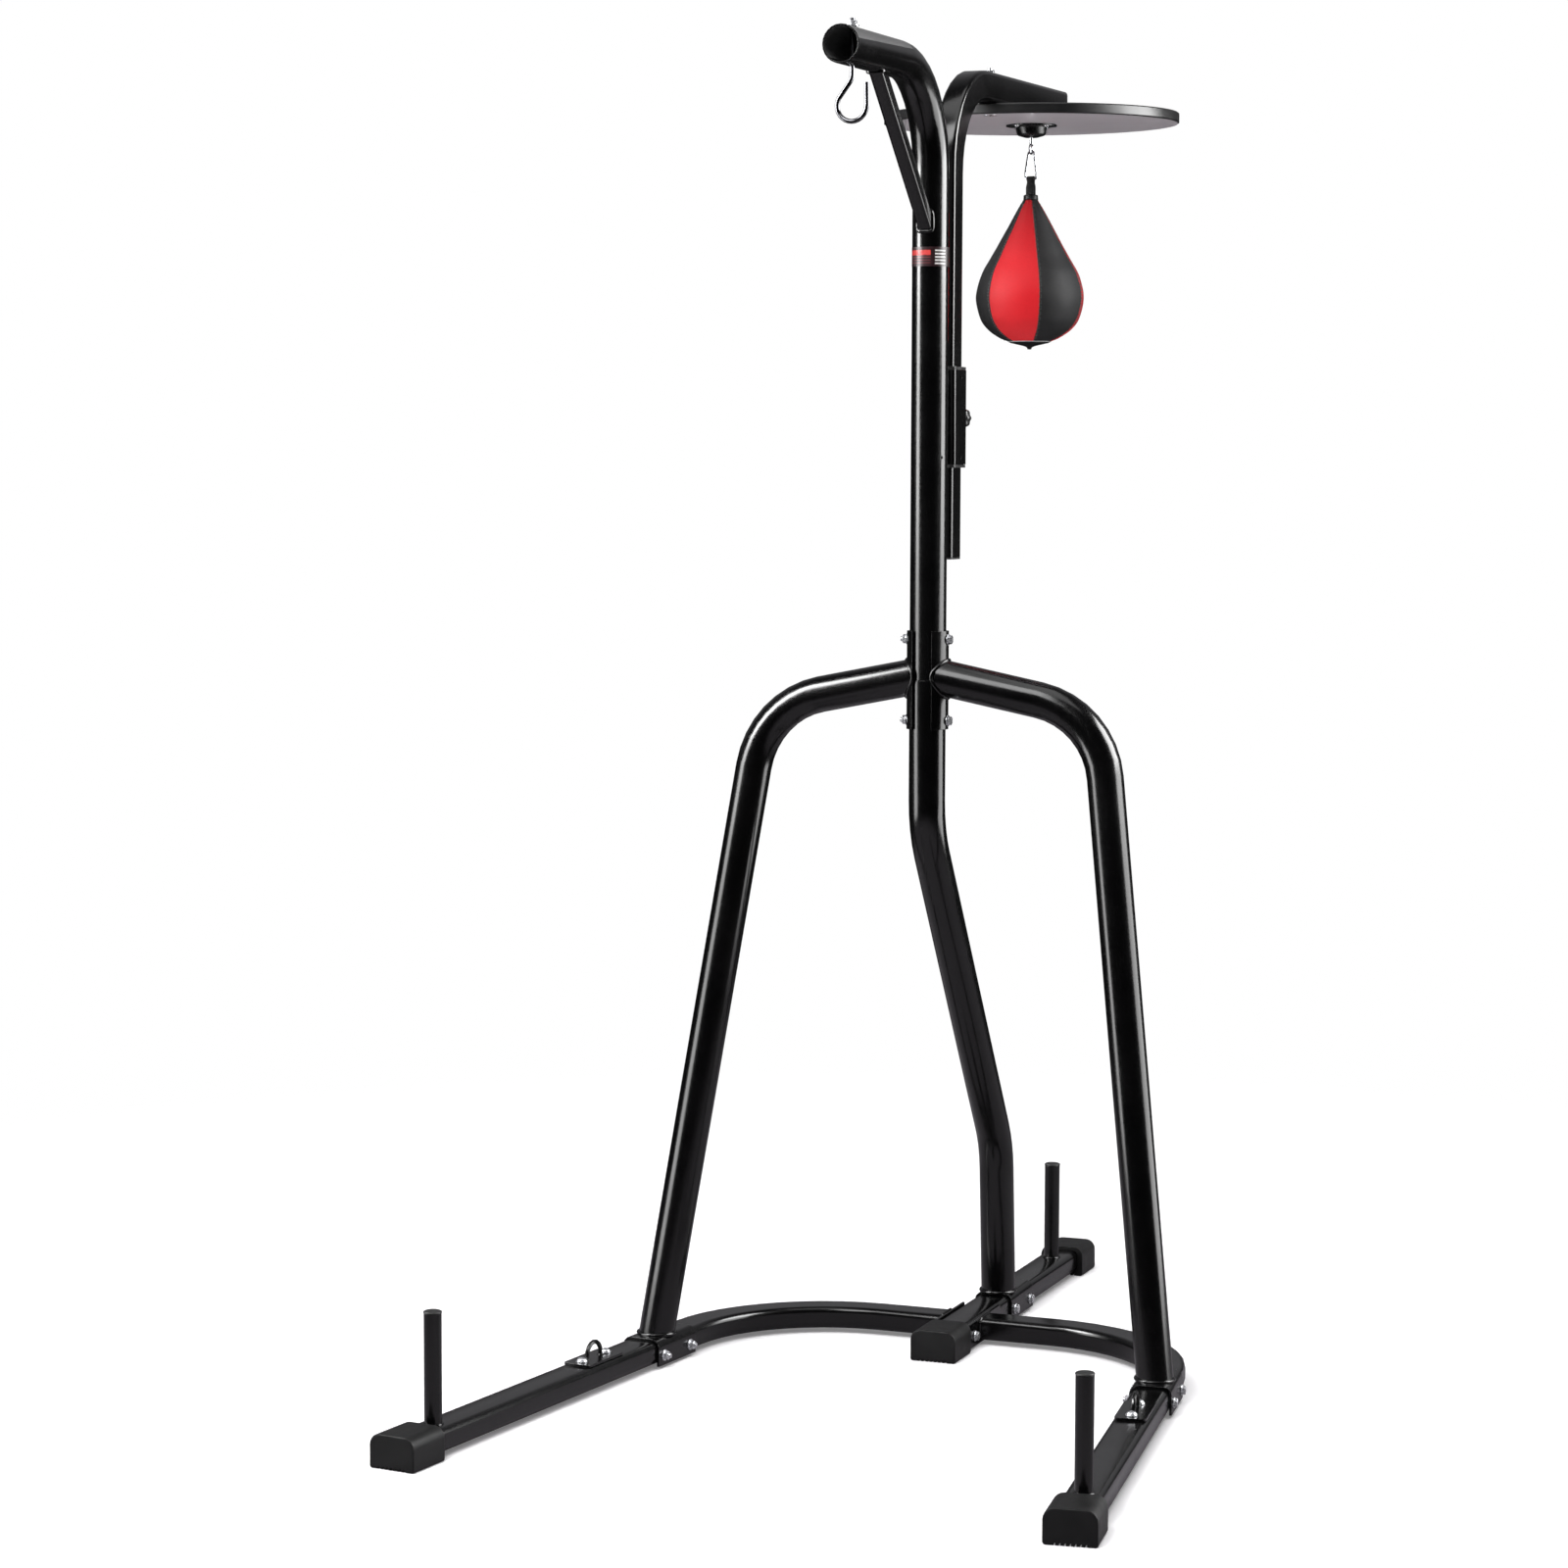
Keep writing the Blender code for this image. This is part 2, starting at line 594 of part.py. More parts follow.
def build_anchor(name, side):
    """Base plate with a welded wire loop standing in the foot's lengthwise plane."""
    z0 = RAIL_TOP + GAP
    upright = lambda e: abs(e.verts[0].co.z - e.verts[1].co.z) > 1e-6
    obj = box(name, (ANCHOR_W, ANCHOR_LEN, PLATE_T), (0, ANCHOR_S, z0 + PLATE_T / 2), 0.006, 2, upright)
    for k in (-1, 1):
        s = ANCHOR_S + k * ANCHOR_BOLT_DS
        drill(obj, (0, s, z0 - 0.01), (0, s, z0 + 0.02))
    crown = LOOP_TOP - LOOP_HALF
    points = [(0, ANCHOR_S - LOOP_HALF, z0 + 0.0015)]
    for i in range(9):
        a = math.pi * (1 - i / 8)
        points.append((0, ANCHOR_S + LOOP_HALF * math.cos(a), crown + LOOP_HALF * math.sin(a)))
    points.append((0, ANCHOR_S + LOOP_HALF, z0 + 0.0015))
    boolean(obj, wire("loop", points, LOOP_WIRE, 2), "UNION")
    return move_mesh(obj, foot_frame(side))


# ==================================================================================================
# platform
# ==================================================================================================
def build_guide_sleeve():
    """Square guide welded to the back of the pole, with the clamp screw's nut on its rear face."""
    y, height = POST_AXIS_Y, SLEEVE_Z1 - SLEEVE_Z0
    upright = lambda e: abs(e.verts[0].co.z - e.verts[1].co.z) > 1e-6
    mid = (SLEEVE_Z0 + SLEEVE_Z1) / 2
    obj = box("guide_sleeve", (SLEEVE_X, SLEEVE_Y, height), (0, y, mid), 0.006, 3, upright)
    web = box("web", (0.026, 0.032, 0.120), (0, y - SLEEVE_Y / 2 - 0.012, mid))
    boolean(obj, web, "UNION")
    nut = cylinder("nut", (0, y + SLEEVE_Y / 2 - 0.002, KNOB_Z), (0, y + SLEEVE_Y / 2 + 0.011, KNOB_Z), 0.011, 6)
    boolean(obj, nut, "UNION")
    wall = 0.0025
    core = box("core", (SLEEVE_X - 2 * wall, SLEEVE_Y - 2 * wall, height + 0.02), (0, y, mid), 0.004, 2, upright)
    boolean(obj, core)
    boolean(obj, cylinder("pole", (0, 0, 1.4), (0, 0, 1.8), TUBE_R + GAP, 36))
    drill(obj, (0, y + 0.02, KNOB_Z), (0, y + 0.06, KNOB_Z), 0.0050 + FIT, 20)
    for z in BUSH_HOLES:
        drill(obj, (-0.04, y, z), (0.04, y, z), 0.003, 12)
    return obj


def build_bush(name, top):
    """Plastic liner at one end of the guide sleeve, with a lip outside it."""
    y, wall = POST_AXIS_Y, 0.0025
    upright = lambda e: abs(e.verts[0].co.z - e.verts[1].co.z) > 1e-6
    sign = 1 if top else -1
    face = SLEEVE_Z1 + GAP if top else SLEEVE_Z0 - GAP
    lip_mid = face + sign * BUSH_LIP / 2
    obj = box(name, (SLEEVE_X - 0.001, SLEEVE_Y - 0.001, BUSH_LIP), (0, y, lip_mid), 0.006, 3, upright)
    outer_x, outer_y = SLEEVE_X - 2 * wall - 2 * GAP, SLEEVE_Y - 2 * wall - 2 * GAP
    body = box("body", (outer_x, outer_y, 0.024), (0, y, face - sign * 0.0105), 0.004, 2, upright)
    boolean(obj, body, "UNION")
    core = box("core", (POST_X + 2 * FIT, POST_Y + 2 * FIT, 0.08), (0, y, face), 0.005, 3, upright)
    return boolean(obj, core)


def build_lock_knob():
    """Clamp screw with a domed hand knob, turned about the Y axis."""
    tip = POST_AXIS_Y + POST_Y / 2 + 0.0006
    back = POST_AXIS_Y + SLEEVE_Y / 2
    r = KNOB_R
    profile = [(0, back + 0.0525), (r * 0.42, back + 0.0518), (r * 0.78, back + 0.0480), (r, back + 0.0405),
               (r, back + 0.0290), (r * 0.86, back + 0.0250), (0.0085, back + 0.0235), (0.0085, back + 0.0130),
               (0.0050, back + 0.0130), (0.0050, tip + 0.001), (0.0040, tip), (0, tip)]
    turn = Matrix.Translation((0, 0, KNOB_Z)) @ Matrix.Rotation(math.radians(-90), 4, "X")
    return turned("lock_knob", profile, 20, turn)


def tilted(place):
    """Where a point of the level arm or board lies once they rise to the rear about the swivel's ball."""
    ball = Vector((0, BOARD_Y, BALL_Z))
    return ball + Matrix.Rotation(ARM_RISE, 3, "X") @ (Vector(place) - ball)


def tilt_mesh(obj):
    for vertex in obj.data.vertices:
        vertex.co = tilted(vertex.co)
    return obj


def post_path():
    rear = tilted((0, ARM_REAR_Y, POST_TOP - POST_Y / 2))
    corner_z = rear.z - (rear.y - POST_AXIS_Y) * math.tan(ARM_RISE)
    return fillet([(0, POST_AXIS_Y, POST_BOTTOM), (0, POST_AXIS_Y, corner_z), rear], POST_BEND_R, 9)


def build_platform_post():
    obj = box_tube("platform_post", post_path(), POST_X, POST_Y, 0.007, WALL)
    return drill(obj, tilted((0, BOARD_BOLT_Y, POST_TOP - 0.08)), tilted((0, BOARD_BOLT_Y, POST_TOP + 0.03)))


def build_tube_plug(name, place, outward):
    """Plastic end plug for the platform post: a flange outside and a body inside the tube."""
    body_x, body_y = POST_X - 2 * WALL - 2 * GAP, POST_Y - 2 * WALL - 2 * GAP
    upright = lambda e: abs(e.verts[0].co.z - e.verts[1].co.z) > 1e-6
    obj = box(name, (POST_X, POST_Y, 0.003), (0, 0, 0.0015 + GAP), 0.007, 3, upright)
    boolean(obj, box("body", (body_x, body_y, 0.018), (0, 0, -0.0075), 0.0060, 3, upright), "UNION")
    turn = along(outward)
    return move_mesh(obj, Matrix.Translation(place) @ turn)


def build_board():
    edge = 0.002
    profile = [(0, BOARD_Z1), (BOARD_R - edge, BOARD_Z1), (BOARD_R, BOARD_Z1 - edge),
               (BOARD_R, BOARD_Z0 + edge), (BOARD_R - edge, BOARD_Z0), (0, BOARD_Z0)]
    obj = turned("platform_board", profile, 60, Matrix.Translation((0, BOARD_Y, 0)))
    return tilt_mesh(drill(obj, (0, BOARD_BOLT_Y, BOARD_Z0 - 0.02), (0, BOARD_BOLT_Y, BOARD_Z1 + 0.02)))


# ==================================================================================================
# swivel, snap hook and bag
# ==================================================================================================
def build_swivel_housing():
    """Pressed cup with a flange, open above and with a round mouth below for the ball's stem."""
    top = BOARD_Z0 - GAP
    outer = [(0.0445, top), (0.0450, top - 0.0014), (0.0445, top - 0.0030), (0.0290, top - 0.0032),
             (0.0275, top - 0.0052), (0.0256, top - 0.0160), (0.0225, top - 0.0190), (0.0110, top - 0.0222),
             (0.0068, top - 0.0222)]
    inner = [(0.0068, top - 0.0200), (0.0100, top - 0.0199), (0.0205, top - 0.0171), (0.0230, top - 0.0148),
             (0.0248, top - 0.0040), (0.0248, top)]
    return tilt_mesh(turned("swivel_housing", outer + inner + outer[:1], 24, Matrix.Translation((0, BOARD_Y, 0))))


def build_swivel_eye():
    """Ball inside the housing with a stem and an eye below it."""
    ball_r, ball_z = BALL_R, BALL_Z
    profile = [(0, ball_z + ball_r)]
    for i in range(1, 7):
        a = math.radians(90 - 25 * i)
        if a > math.radians(-65):
            profile.append((ball_r * math.cos(a), ball_z + ball_r * math.sin(a)))
    stem_low = RING_Z + RING_R - 0.0005
    profile += [(0.0032, ball_z - ball_r * 0.90), (0.0032, stem_low + 0.002), (0.0024, stem_low), (0, stem_low)]
    obj = turned("swivel_eye", profile, 12)
    ring = 16
    matrix = Matrix.Translation((0, 0, RING_Z)) @ Matrix.Rotation(math.radians(90), 4, "Y")
    turns = [2 * math.pi * i / ring for i in range(ring)]
    points = [matrix @ Vector((RING_R * math.cos(a), RING_R * math.sin(a), 0)) for a in turns]
    boolean(obj, wire("eye", points, RING_WIRE, 1, True), "UNION")
    return move_mesh(obj, Matrix.Translation((0, BOARD_Y, 0)))


def hook_path():
    """Pear-shaped open hook in the XZ plane: from the gate's hinge round the bottom and up to the nose."""
    low, high, wide, slim = HOOK_BOTTOM_Z, HOOK_TOP_Z, HOOK_BOTTOM_HALF, HOOK_TOP_HALF
    corner, crown = 0.0030, slim
    points = [(wide, 0, low + GATE_RISE), (wide, 0, low + corner)]
    for i in range(1, 5):
        a = math.radians(-90 * i / 4)
        points.append((wide - corner + corner * math.cos(a), 0, low + corner + corner * math.sin(a)))
    for i in range(0, 5):
        a = math.radians(-90 - 90 * i / 4)
        points.append((-wide + corner + corner * math.cos(a), 0, low + corner + corner * math.sin(a)))
    points.append((-wide, 0, low + 0.0110))
    for i in range(0, 10):
        a = math.radians(180 - 180 * i / 9)
        points.append((crown * math.cos(a), 0, high - crown + crown * math.sin(a)))
    points.append((slim + 0.0003, 0, high - crown - 0.0025))
    return points


def build_snap_hook():
    obj = wire("snap_hook", hook_path(), HOOK_WIRE, 2)
    return move_mesh(obj, Matrix.Translation((0, BOARD_Y, 0)))


def build_snap_gate():
    nose = Vector((HOOK_TOP_HALF + 0.0003, 0, HOOK_TOP_Z - HOOK_TOP_HALF - 0.0025))
    hinge = Vector((HOOK_BOTTOM_HALF, 0, HOOK_BOTTOM_Z + GATE_RISE))
    line = (nose - hinge).normalized()
    obj = wire("snap_hook_gate", [hinge + line * 0.0012, nose - line * 0.0012], HOOK_WIRE * 0.9, 2)
    return move_mesh(obj, Matrix.Translation((0, BOARD_Y, 0)))


def build_bag_strap():
    """Folded strap whose loop goes round the bottom of the snap hook."""
    inner = HOOK_WIRE + 0.0005
    outer = inner + STRAP_T
    low = BAG_TOP + GAP
    pinch = 0.0003
    neck_z = HOOK_BOTTOM_Z - 0.0100
    outline = []
    for i in range(13):
        a = math.radians(-30 + 240 * i / 12)
        outline.append((outer * math.cos(a), HOOK_BOTTOM_Z + outer * math.sin(a)))
    outline += [(-STRAP_T - pinch, neck_z), (-STRAP_T - pinch, low), (STRAP_T + pinch, low), (STRAP_T + pinch, neck_z)]
    matrix = Matrix.Translation((0, BOARD_Y, 0)) @ Matrix(((0, 0, 1), (1, 0, 0), (0, 1, 0))).to_4x4()
    obj = plate_outline("bag_strap", outline, STRAP_W, matrix)
    eye = cylinder("eye", (-0.03, BOARD_Y, HOOK_BOTTOM_Z), (0.03, BOARD_Y, HOOK_BOTTOM_Z), inner, 16)
    return boolean(obj, eye)


def build_speed_bag():
    """Leather shell of the bag, open at the bottom where the base patch closes it."""
    profile = [(0, BAG_TOP), (0.0120, BAG_TOP), (0.0135, BAG_TOP - 0.002)] + list(BAG_OUTLINE)
    profile += [(BAG_MOUTH, BAG_LOW), (BAG_MOUTH, BAG_LOW + BAG_SKIN)]
    profile += [(r - BAG_SKIN, z + BAG_SKIN * 0.8) for r, z in reversed(BAG_OUTLINE[2:-1])]
    profile += [(0, BAG_OUTLINE[2][1] + 0.02)]
    return turned("speed_bag", profile, 24, Matrix.Translation((0, BOARD_Y, 0)))


def build_bag_base():
    """Stitched bottom patch with the valve nub."""
    top = BAG_LOW - GAP
    profile = [(0, top), (0.0355, top), (0.0340, top - 0.0020), (0.0170, top - 0.0060), (0.0060, top - 0.0095),
               (0.0045, top - 0.0140), (0, top - 0.0145)]
    return turned("bag_base", profile, 24, Matrix.Translation((0, BOARD_Y, 0)))


# ==================================================================================================
# heavy bag hook
# ==================================================================================================
def build_heavy_bag_hook():
    """Open question-mark hook whose threaded shank passes up through the arm."""
    r, z = HANG_LOOP_R, HANG_LOOP_Z
    points = [(0, HANG_Y, HANG_NUT_Z + 0.0125), (0, HANG_Y, z + 0.0460)]
    points += [(-0.0009, HANG_Y, z + 0.0405), (-0.0036, HANG_Y, z + 0.0350)]
    start = math.radians(153)
    steps = 16
    for i in range(steps + 1):
        a = start + (math.radians(360) - start) * i / steps
        points.append((r * math.cos(a), HANG_Y, z + r * math.sin(a)))
    points.append((r, HANG_Y, HANG_TIP_Z))
    return wire("heavy_bag_hook", points, HANG_WIRE, 3)


def build_hook_nut():
    z = HANG_NUT_Z
    obj = cylinder("hook_nut", (0, HANG_Y, z), (0, HANG_Y, z + 0.0018), 0.0105, 20)
    boolean(obj, cylinder("hexagon", (0, HANG_Y, z + 0.0015), (0, HANG_Y, z + 0.0085), 0.0075, 6), "UNION")
    return drill(obj, (0, HANG_Y, z - 0.01), (0, HANG_Y, z + 0.02), HANG_WIRE + 0.0002, 20)


# ==================================================================================================
# assembly
# ==================================================================================================
def build_frame():
    yield build_main_post(), "powder_coat"
    yield build_arm_brace(), "powder_coat"
    yield build_rear_post(), "powder_coat"
    for side, word in ((-1, "left"), (1, "right")):
        yield build_leg(word + "_leg", side), "powder_coat"
        yield build_collar(word + "_collar", side), "powder_coat"
        yield build_foot(word + "_foot_rail", side), "powder_coat"
        yield build_arc(word + "_rear_arc", side), "powder_coat"
        saddle = foot_frame(side) @ Matrix.Translation((0, SADDLE_S, 0))
        yield build_saddle(word + "_leg_saddle", saddle), "powder_coat"
        yield build_anchor(word + "_anchor_loop", side), "powder_coat"
        yield build_cap(word + "_foot_cap", foot_frame(side) @ Matrix.Translation((0, FOOT_LEN, 0))), "rubber"
    yield build_beam(), "powder_coat"
    yield build_cradle(), "powder_coat"
    yield build_saddle("rear_post_saddle", Matrix.Translation((0, REAR_SADDLE_Y, 0))), "powder_coat"
    turn = Matrix.Rotation(math.pi, 4, "Z")
    yield build_cap("centre_front_cap", Matrix.Translation((0, BEAM_FRONT_Y, 0)) @ turn), "rubber"
    yield build_cap("centre_rear_cap", Matrix.Translation((0, BEAM_REAR_Y, 0))), "rubber"
    places = {"left": foot_point(-1, PLATE_POST_S), "right": foot_point(1, PLATE_POST_S),
              "rear": Vector((0, REAR_PLATE_POST_Y, 0))}
    for word, place in places.items():
        yield build_plate_post(word + "_plate_post", place), "powder_coat"
        yield build_plug(word + "_plate_post_plug", place), "plastic"


def build_fasteners():
    half = RAIL_W / 2 + GAP + PLATE_T
    across = bolt_mesh(2 * half)
    for side, word in ((-1, "left"), (1, "right")):
        inward = foot_frame(side).to_3x3() @ Vector((side, 0, 0))
        for k, place in ((1, "front"), (-1, "rear")):
            s = SADDLE_S + k * SADDLE_BOLT_DS
            start = foot_point(side, s, BOLT_Z, -side * half)
            yield place_bolt("_".join((word, "saddle_bolt", place)), across, start, inward), "zinc"
    for k, place in ((-1, "front"), (1, "rear")):
        y = REAR_SADDLE_Y + k * SADDLE_BOLT_DS
        yield place_bolt("rear_post_bolt_" + place, across, (half, y, BOLT_Z), (-1, 0, 0)), "zinc"
    yield place_bolt("cradle_bolt", across, (half, CRADLE_BOLT_Y, BOLT_Z), (-1, 0, 0)), "zinc"
    clamp = bolt_mesh(2 * COLLAR_R)
    for dz, place in ((COLLAR_BOLT_DZ, "upper"), (-COLLAR_BOLT_DZ, "lower")):
        yield place_bolt("collar_bolt_" + place, clamp, (COLLAR_R, 0, JOINT_Z + dz), (-1, 0, 0)), "zinc"
    rise = headed_bolt_mesh(CUP_HEAD, RAIL_H + GAP + PLATE_T, 0.0)
    for side, word in ((-1, "left"), (1, "right")):
        for k, place in ((1, "front"), (-1, "rear")):
            start = foot_point(side, ANCHOR_S + k * ANCHOR_BOLT_DS, RAIL_TOP + GAP + PLATE_T)
            yield place_bolt("_".join((word, "anchor_bolt", place)), rise, start, (0, 0, -1)), "zinc"
    up = headed_bolt_mesh(FLAT_HEAD, BOARD_T + GAP + POST_Y, 0.004)
    start, over = tilted((0, BOARD_BOLT_Y, BOARD_Z0)), tilted((0, BOARD_BOLT_Y, BOARD_Z1))
    yield place_bolt("platform_bolt", up, start, over - start), "zinc"


def build_platform():
    yield build_guide_sleeve(), "powder_coat"
    yield build_bush("guide_bush_upper", True), "plastic"
    yield build_bush("guide_bush_lower", False), "plastic"
    yield build_platform_post(), "powder_coat"
    yield build_tube_plug("post_plug_lower", (0, POST_AXIS_Y, POST_BOTTOM), (0, 0, -1)), "plastic"
    rear = (0, ARM_REAR_Y, POST_TOP - POST_Y / 2)
    yield tilt_mesh(build_tube_plug("arm_plug_rear", rear, (0, 1, 0))), "plastic"
    yield build_board(), "board"
    yield build_swivel_housing(), "powder_coat"


def build_hanging():
    yield build_lock_knob(), "plastic", (0, POST_AXIS_Y, KNOB_Z)
    yield build_swivel_eye(), "zinc", (0, BOARD_Y, BALL_Z)
    yield build_snap_hook(), "zinc", (0, BOARD_Y, RING_Z - RING_R)
    yield build_snap_gate(), "zinc", (HOOK_BOTTOM_HALF, BOARD_Y, HOOK_BOTTOM_Z + GATE_RISE)
    for obj, mat in ((build_bag_strap(), "strap"), (build_speed_bag(), "red_leather"),
                     (build_bag_base(), "strap")):
        yield obj, mat, (0, BOARD_Y, HOOK_BOTTOM_Z)
    yield build_heavy_bag_hook(), "zinc", (0, HANG_Y, ARM_Z)
    yield build_hook_nut(), "zinc", (0, HANG_Y, ARM_Z)


def set_origin(obj, place):
    place = Vector(place)
    obj.data.transform(Matrix.Translation(-place))
    obj.location = place


def finish(obj, mat, collection):
    mesh = obj.data
    mesh.materials.clear()
    mesh.materials.append(material(mat))
    mesh.shade_smooth()
    mesh.set_sharp_from_angle(angle=math.radians(35))
    for old in list(obj.users_collection):
        old.objects.unlink(obj)
    collection.objects.link(obj)
    obj.location.y += ORIGIN_SHIFT_Y


def main():
    clear_scene()
    collection = bpy.data.collections.new("boxing_stand")
    bpy.context.scene.collection.children.link(collection)
    for builder in (build_frame, build_fasteners, build_platform):
        for obj, mat in builder():
            finish(obj, mat, collection)
    for obj, mat, pivot in build_hanging():
        set_origin(obj, pivot)
        finish(obj, mat, collection)


main()
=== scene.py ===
"""Looks of the speed bag platform stand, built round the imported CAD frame.

The CAD nodes keep their shape and get procedural finishes. The bag, its strap and its base patch
are replaced by detailed leather work, and welds, threads, screws and a label are added.
"""

import json
import math

import bmesh
import bpy
import numpy as np
from mathutils import Matrix, Vector, noise


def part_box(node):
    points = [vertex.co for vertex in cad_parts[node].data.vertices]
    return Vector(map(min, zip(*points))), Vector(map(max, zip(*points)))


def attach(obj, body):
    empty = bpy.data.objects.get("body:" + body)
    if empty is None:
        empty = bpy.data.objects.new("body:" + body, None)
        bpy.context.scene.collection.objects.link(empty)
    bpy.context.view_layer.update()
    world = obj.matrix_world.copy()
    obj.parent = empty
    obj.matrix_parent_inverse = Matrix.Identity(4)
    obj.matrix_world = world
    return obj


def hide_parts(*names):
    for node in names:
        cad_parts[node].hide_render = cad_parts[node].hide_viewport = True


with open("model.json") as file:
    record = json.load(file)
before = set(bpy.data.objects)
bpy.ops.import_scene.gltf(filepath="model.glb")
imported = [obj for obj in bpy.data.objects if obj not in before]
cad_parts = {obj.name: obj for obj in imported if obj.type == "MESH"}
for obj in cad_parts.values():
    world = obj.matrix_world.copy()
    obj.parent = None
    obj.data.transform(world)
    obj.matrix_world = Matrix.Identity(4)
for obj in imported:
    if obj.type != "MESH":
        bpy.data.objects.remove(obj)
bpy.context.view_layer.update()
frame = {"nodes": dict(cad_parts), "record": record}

# --- sizes read from the frame, in metres ---------------------------------------------------------
TUBE_R = 0.030                                     # pole, legs and rear post
POLE_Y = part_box("main_post")[1].y - TUBE_R         # the pole stands on (0, POLE_Y)
ARM_Z = 2.140                                      # axis of the hook arm
COLLAR_R = 0.0345
RAIL_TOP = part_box("centre_beam")[1].z
PLATE_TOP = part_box("left_leg_saddle")[1].z
SPLAY = 0.1224                                     # the feet toe out
LEG_PATH = (Vector((0.030, 0.0, 1.153)), Vector((0.2915, 0.0096, 1.1007)), Vector((0.4324, -0.1185, 0.0456)))
REAR_PATH = (Vector((0, 0.3860, 0.3135)), Vector((0, 0.4050, 0.0500)))
BRACE_ENDS = (Vector((0, -0.2750, 2.1288)), Vector((0, -0.0150, 1.8805)))
BRACE_HALF = 0.012
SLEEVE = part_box("guide_sleeve")
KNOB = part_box("lock_knob")
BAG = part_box("speed_bag")
BOARD_Y = (BAG[0].y + BAG[1].y) / 2                # the bag hangs under the middle of the board
BALL_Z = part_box("swivel_eye")[1].z - 0.0092        # the board rises to the rear about this ball
ARM_RISE = math.radians(0.7)
HOUSING_TOP = BALL_Z + 0.0136
HOOK_WIRE = 0.0020
HOOK_LOW_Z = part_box("snap_hook")[0].z + HOOK_WIRE  # axis of the snap hook's bottom bar
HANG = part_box("heavy_bag_hook")
HANG_Y = (HANG[0].y + HANG[1].y) / 2

# --- bag ------------------------------------------------------------------------------------------
PANELS = 6
SEAM_TURN = math.radians(28.5)                     # first seam, from the front towards +X
BAG_OUTLINE = ((1.9650, 0.0120), (1.9420, 0.0268), (1.9050, 0.0478), (1.8650, 0.0702), (1.8330, 0.0877),
               (1.7960, 0.0963), (1.7600, 0.0897), (1.7390, 0.0760), (1.7240, 0.0548), (1.7165, 0.0360))
BAG_SLACK = 0.0016                                 # the cut is this much smaller before it is blown up
SEAM_FRACTIONS = (0.0, 0.010, 0.022, 0.042, 0.075, 0.13, 0.21, 0.31, 0.41, 0.5)
BAG_ROWS = 84
STITCH_PITCH = 0.0050
SIM_FRAMES = 20
SIM_LIMIT = 0.0045
SEAM_DEPTH, SEAM_WIDTH = 0.0013, 0.0011            # groove along each seam
LIP_HEIGHT, LIP_GAP, LIP_WIDTH = 0.00045, 0.0030, 0.0016   # swelling beside the groove
CROWN_REACH = 0.022                                # the folds fade by this length down from the neck


# --- finishes -------------------------------------------------------------------------------------
RANGE_SOCKETS = ("From Min", "From Max", "To Min", "To Max")


def set_range(node, *numbers):
    """Sets the four numbers of a Map Range node."""
    for socket, number in zip(RANGE_SOCKETS, numbers):
        node.inputs[socket].default_value = number


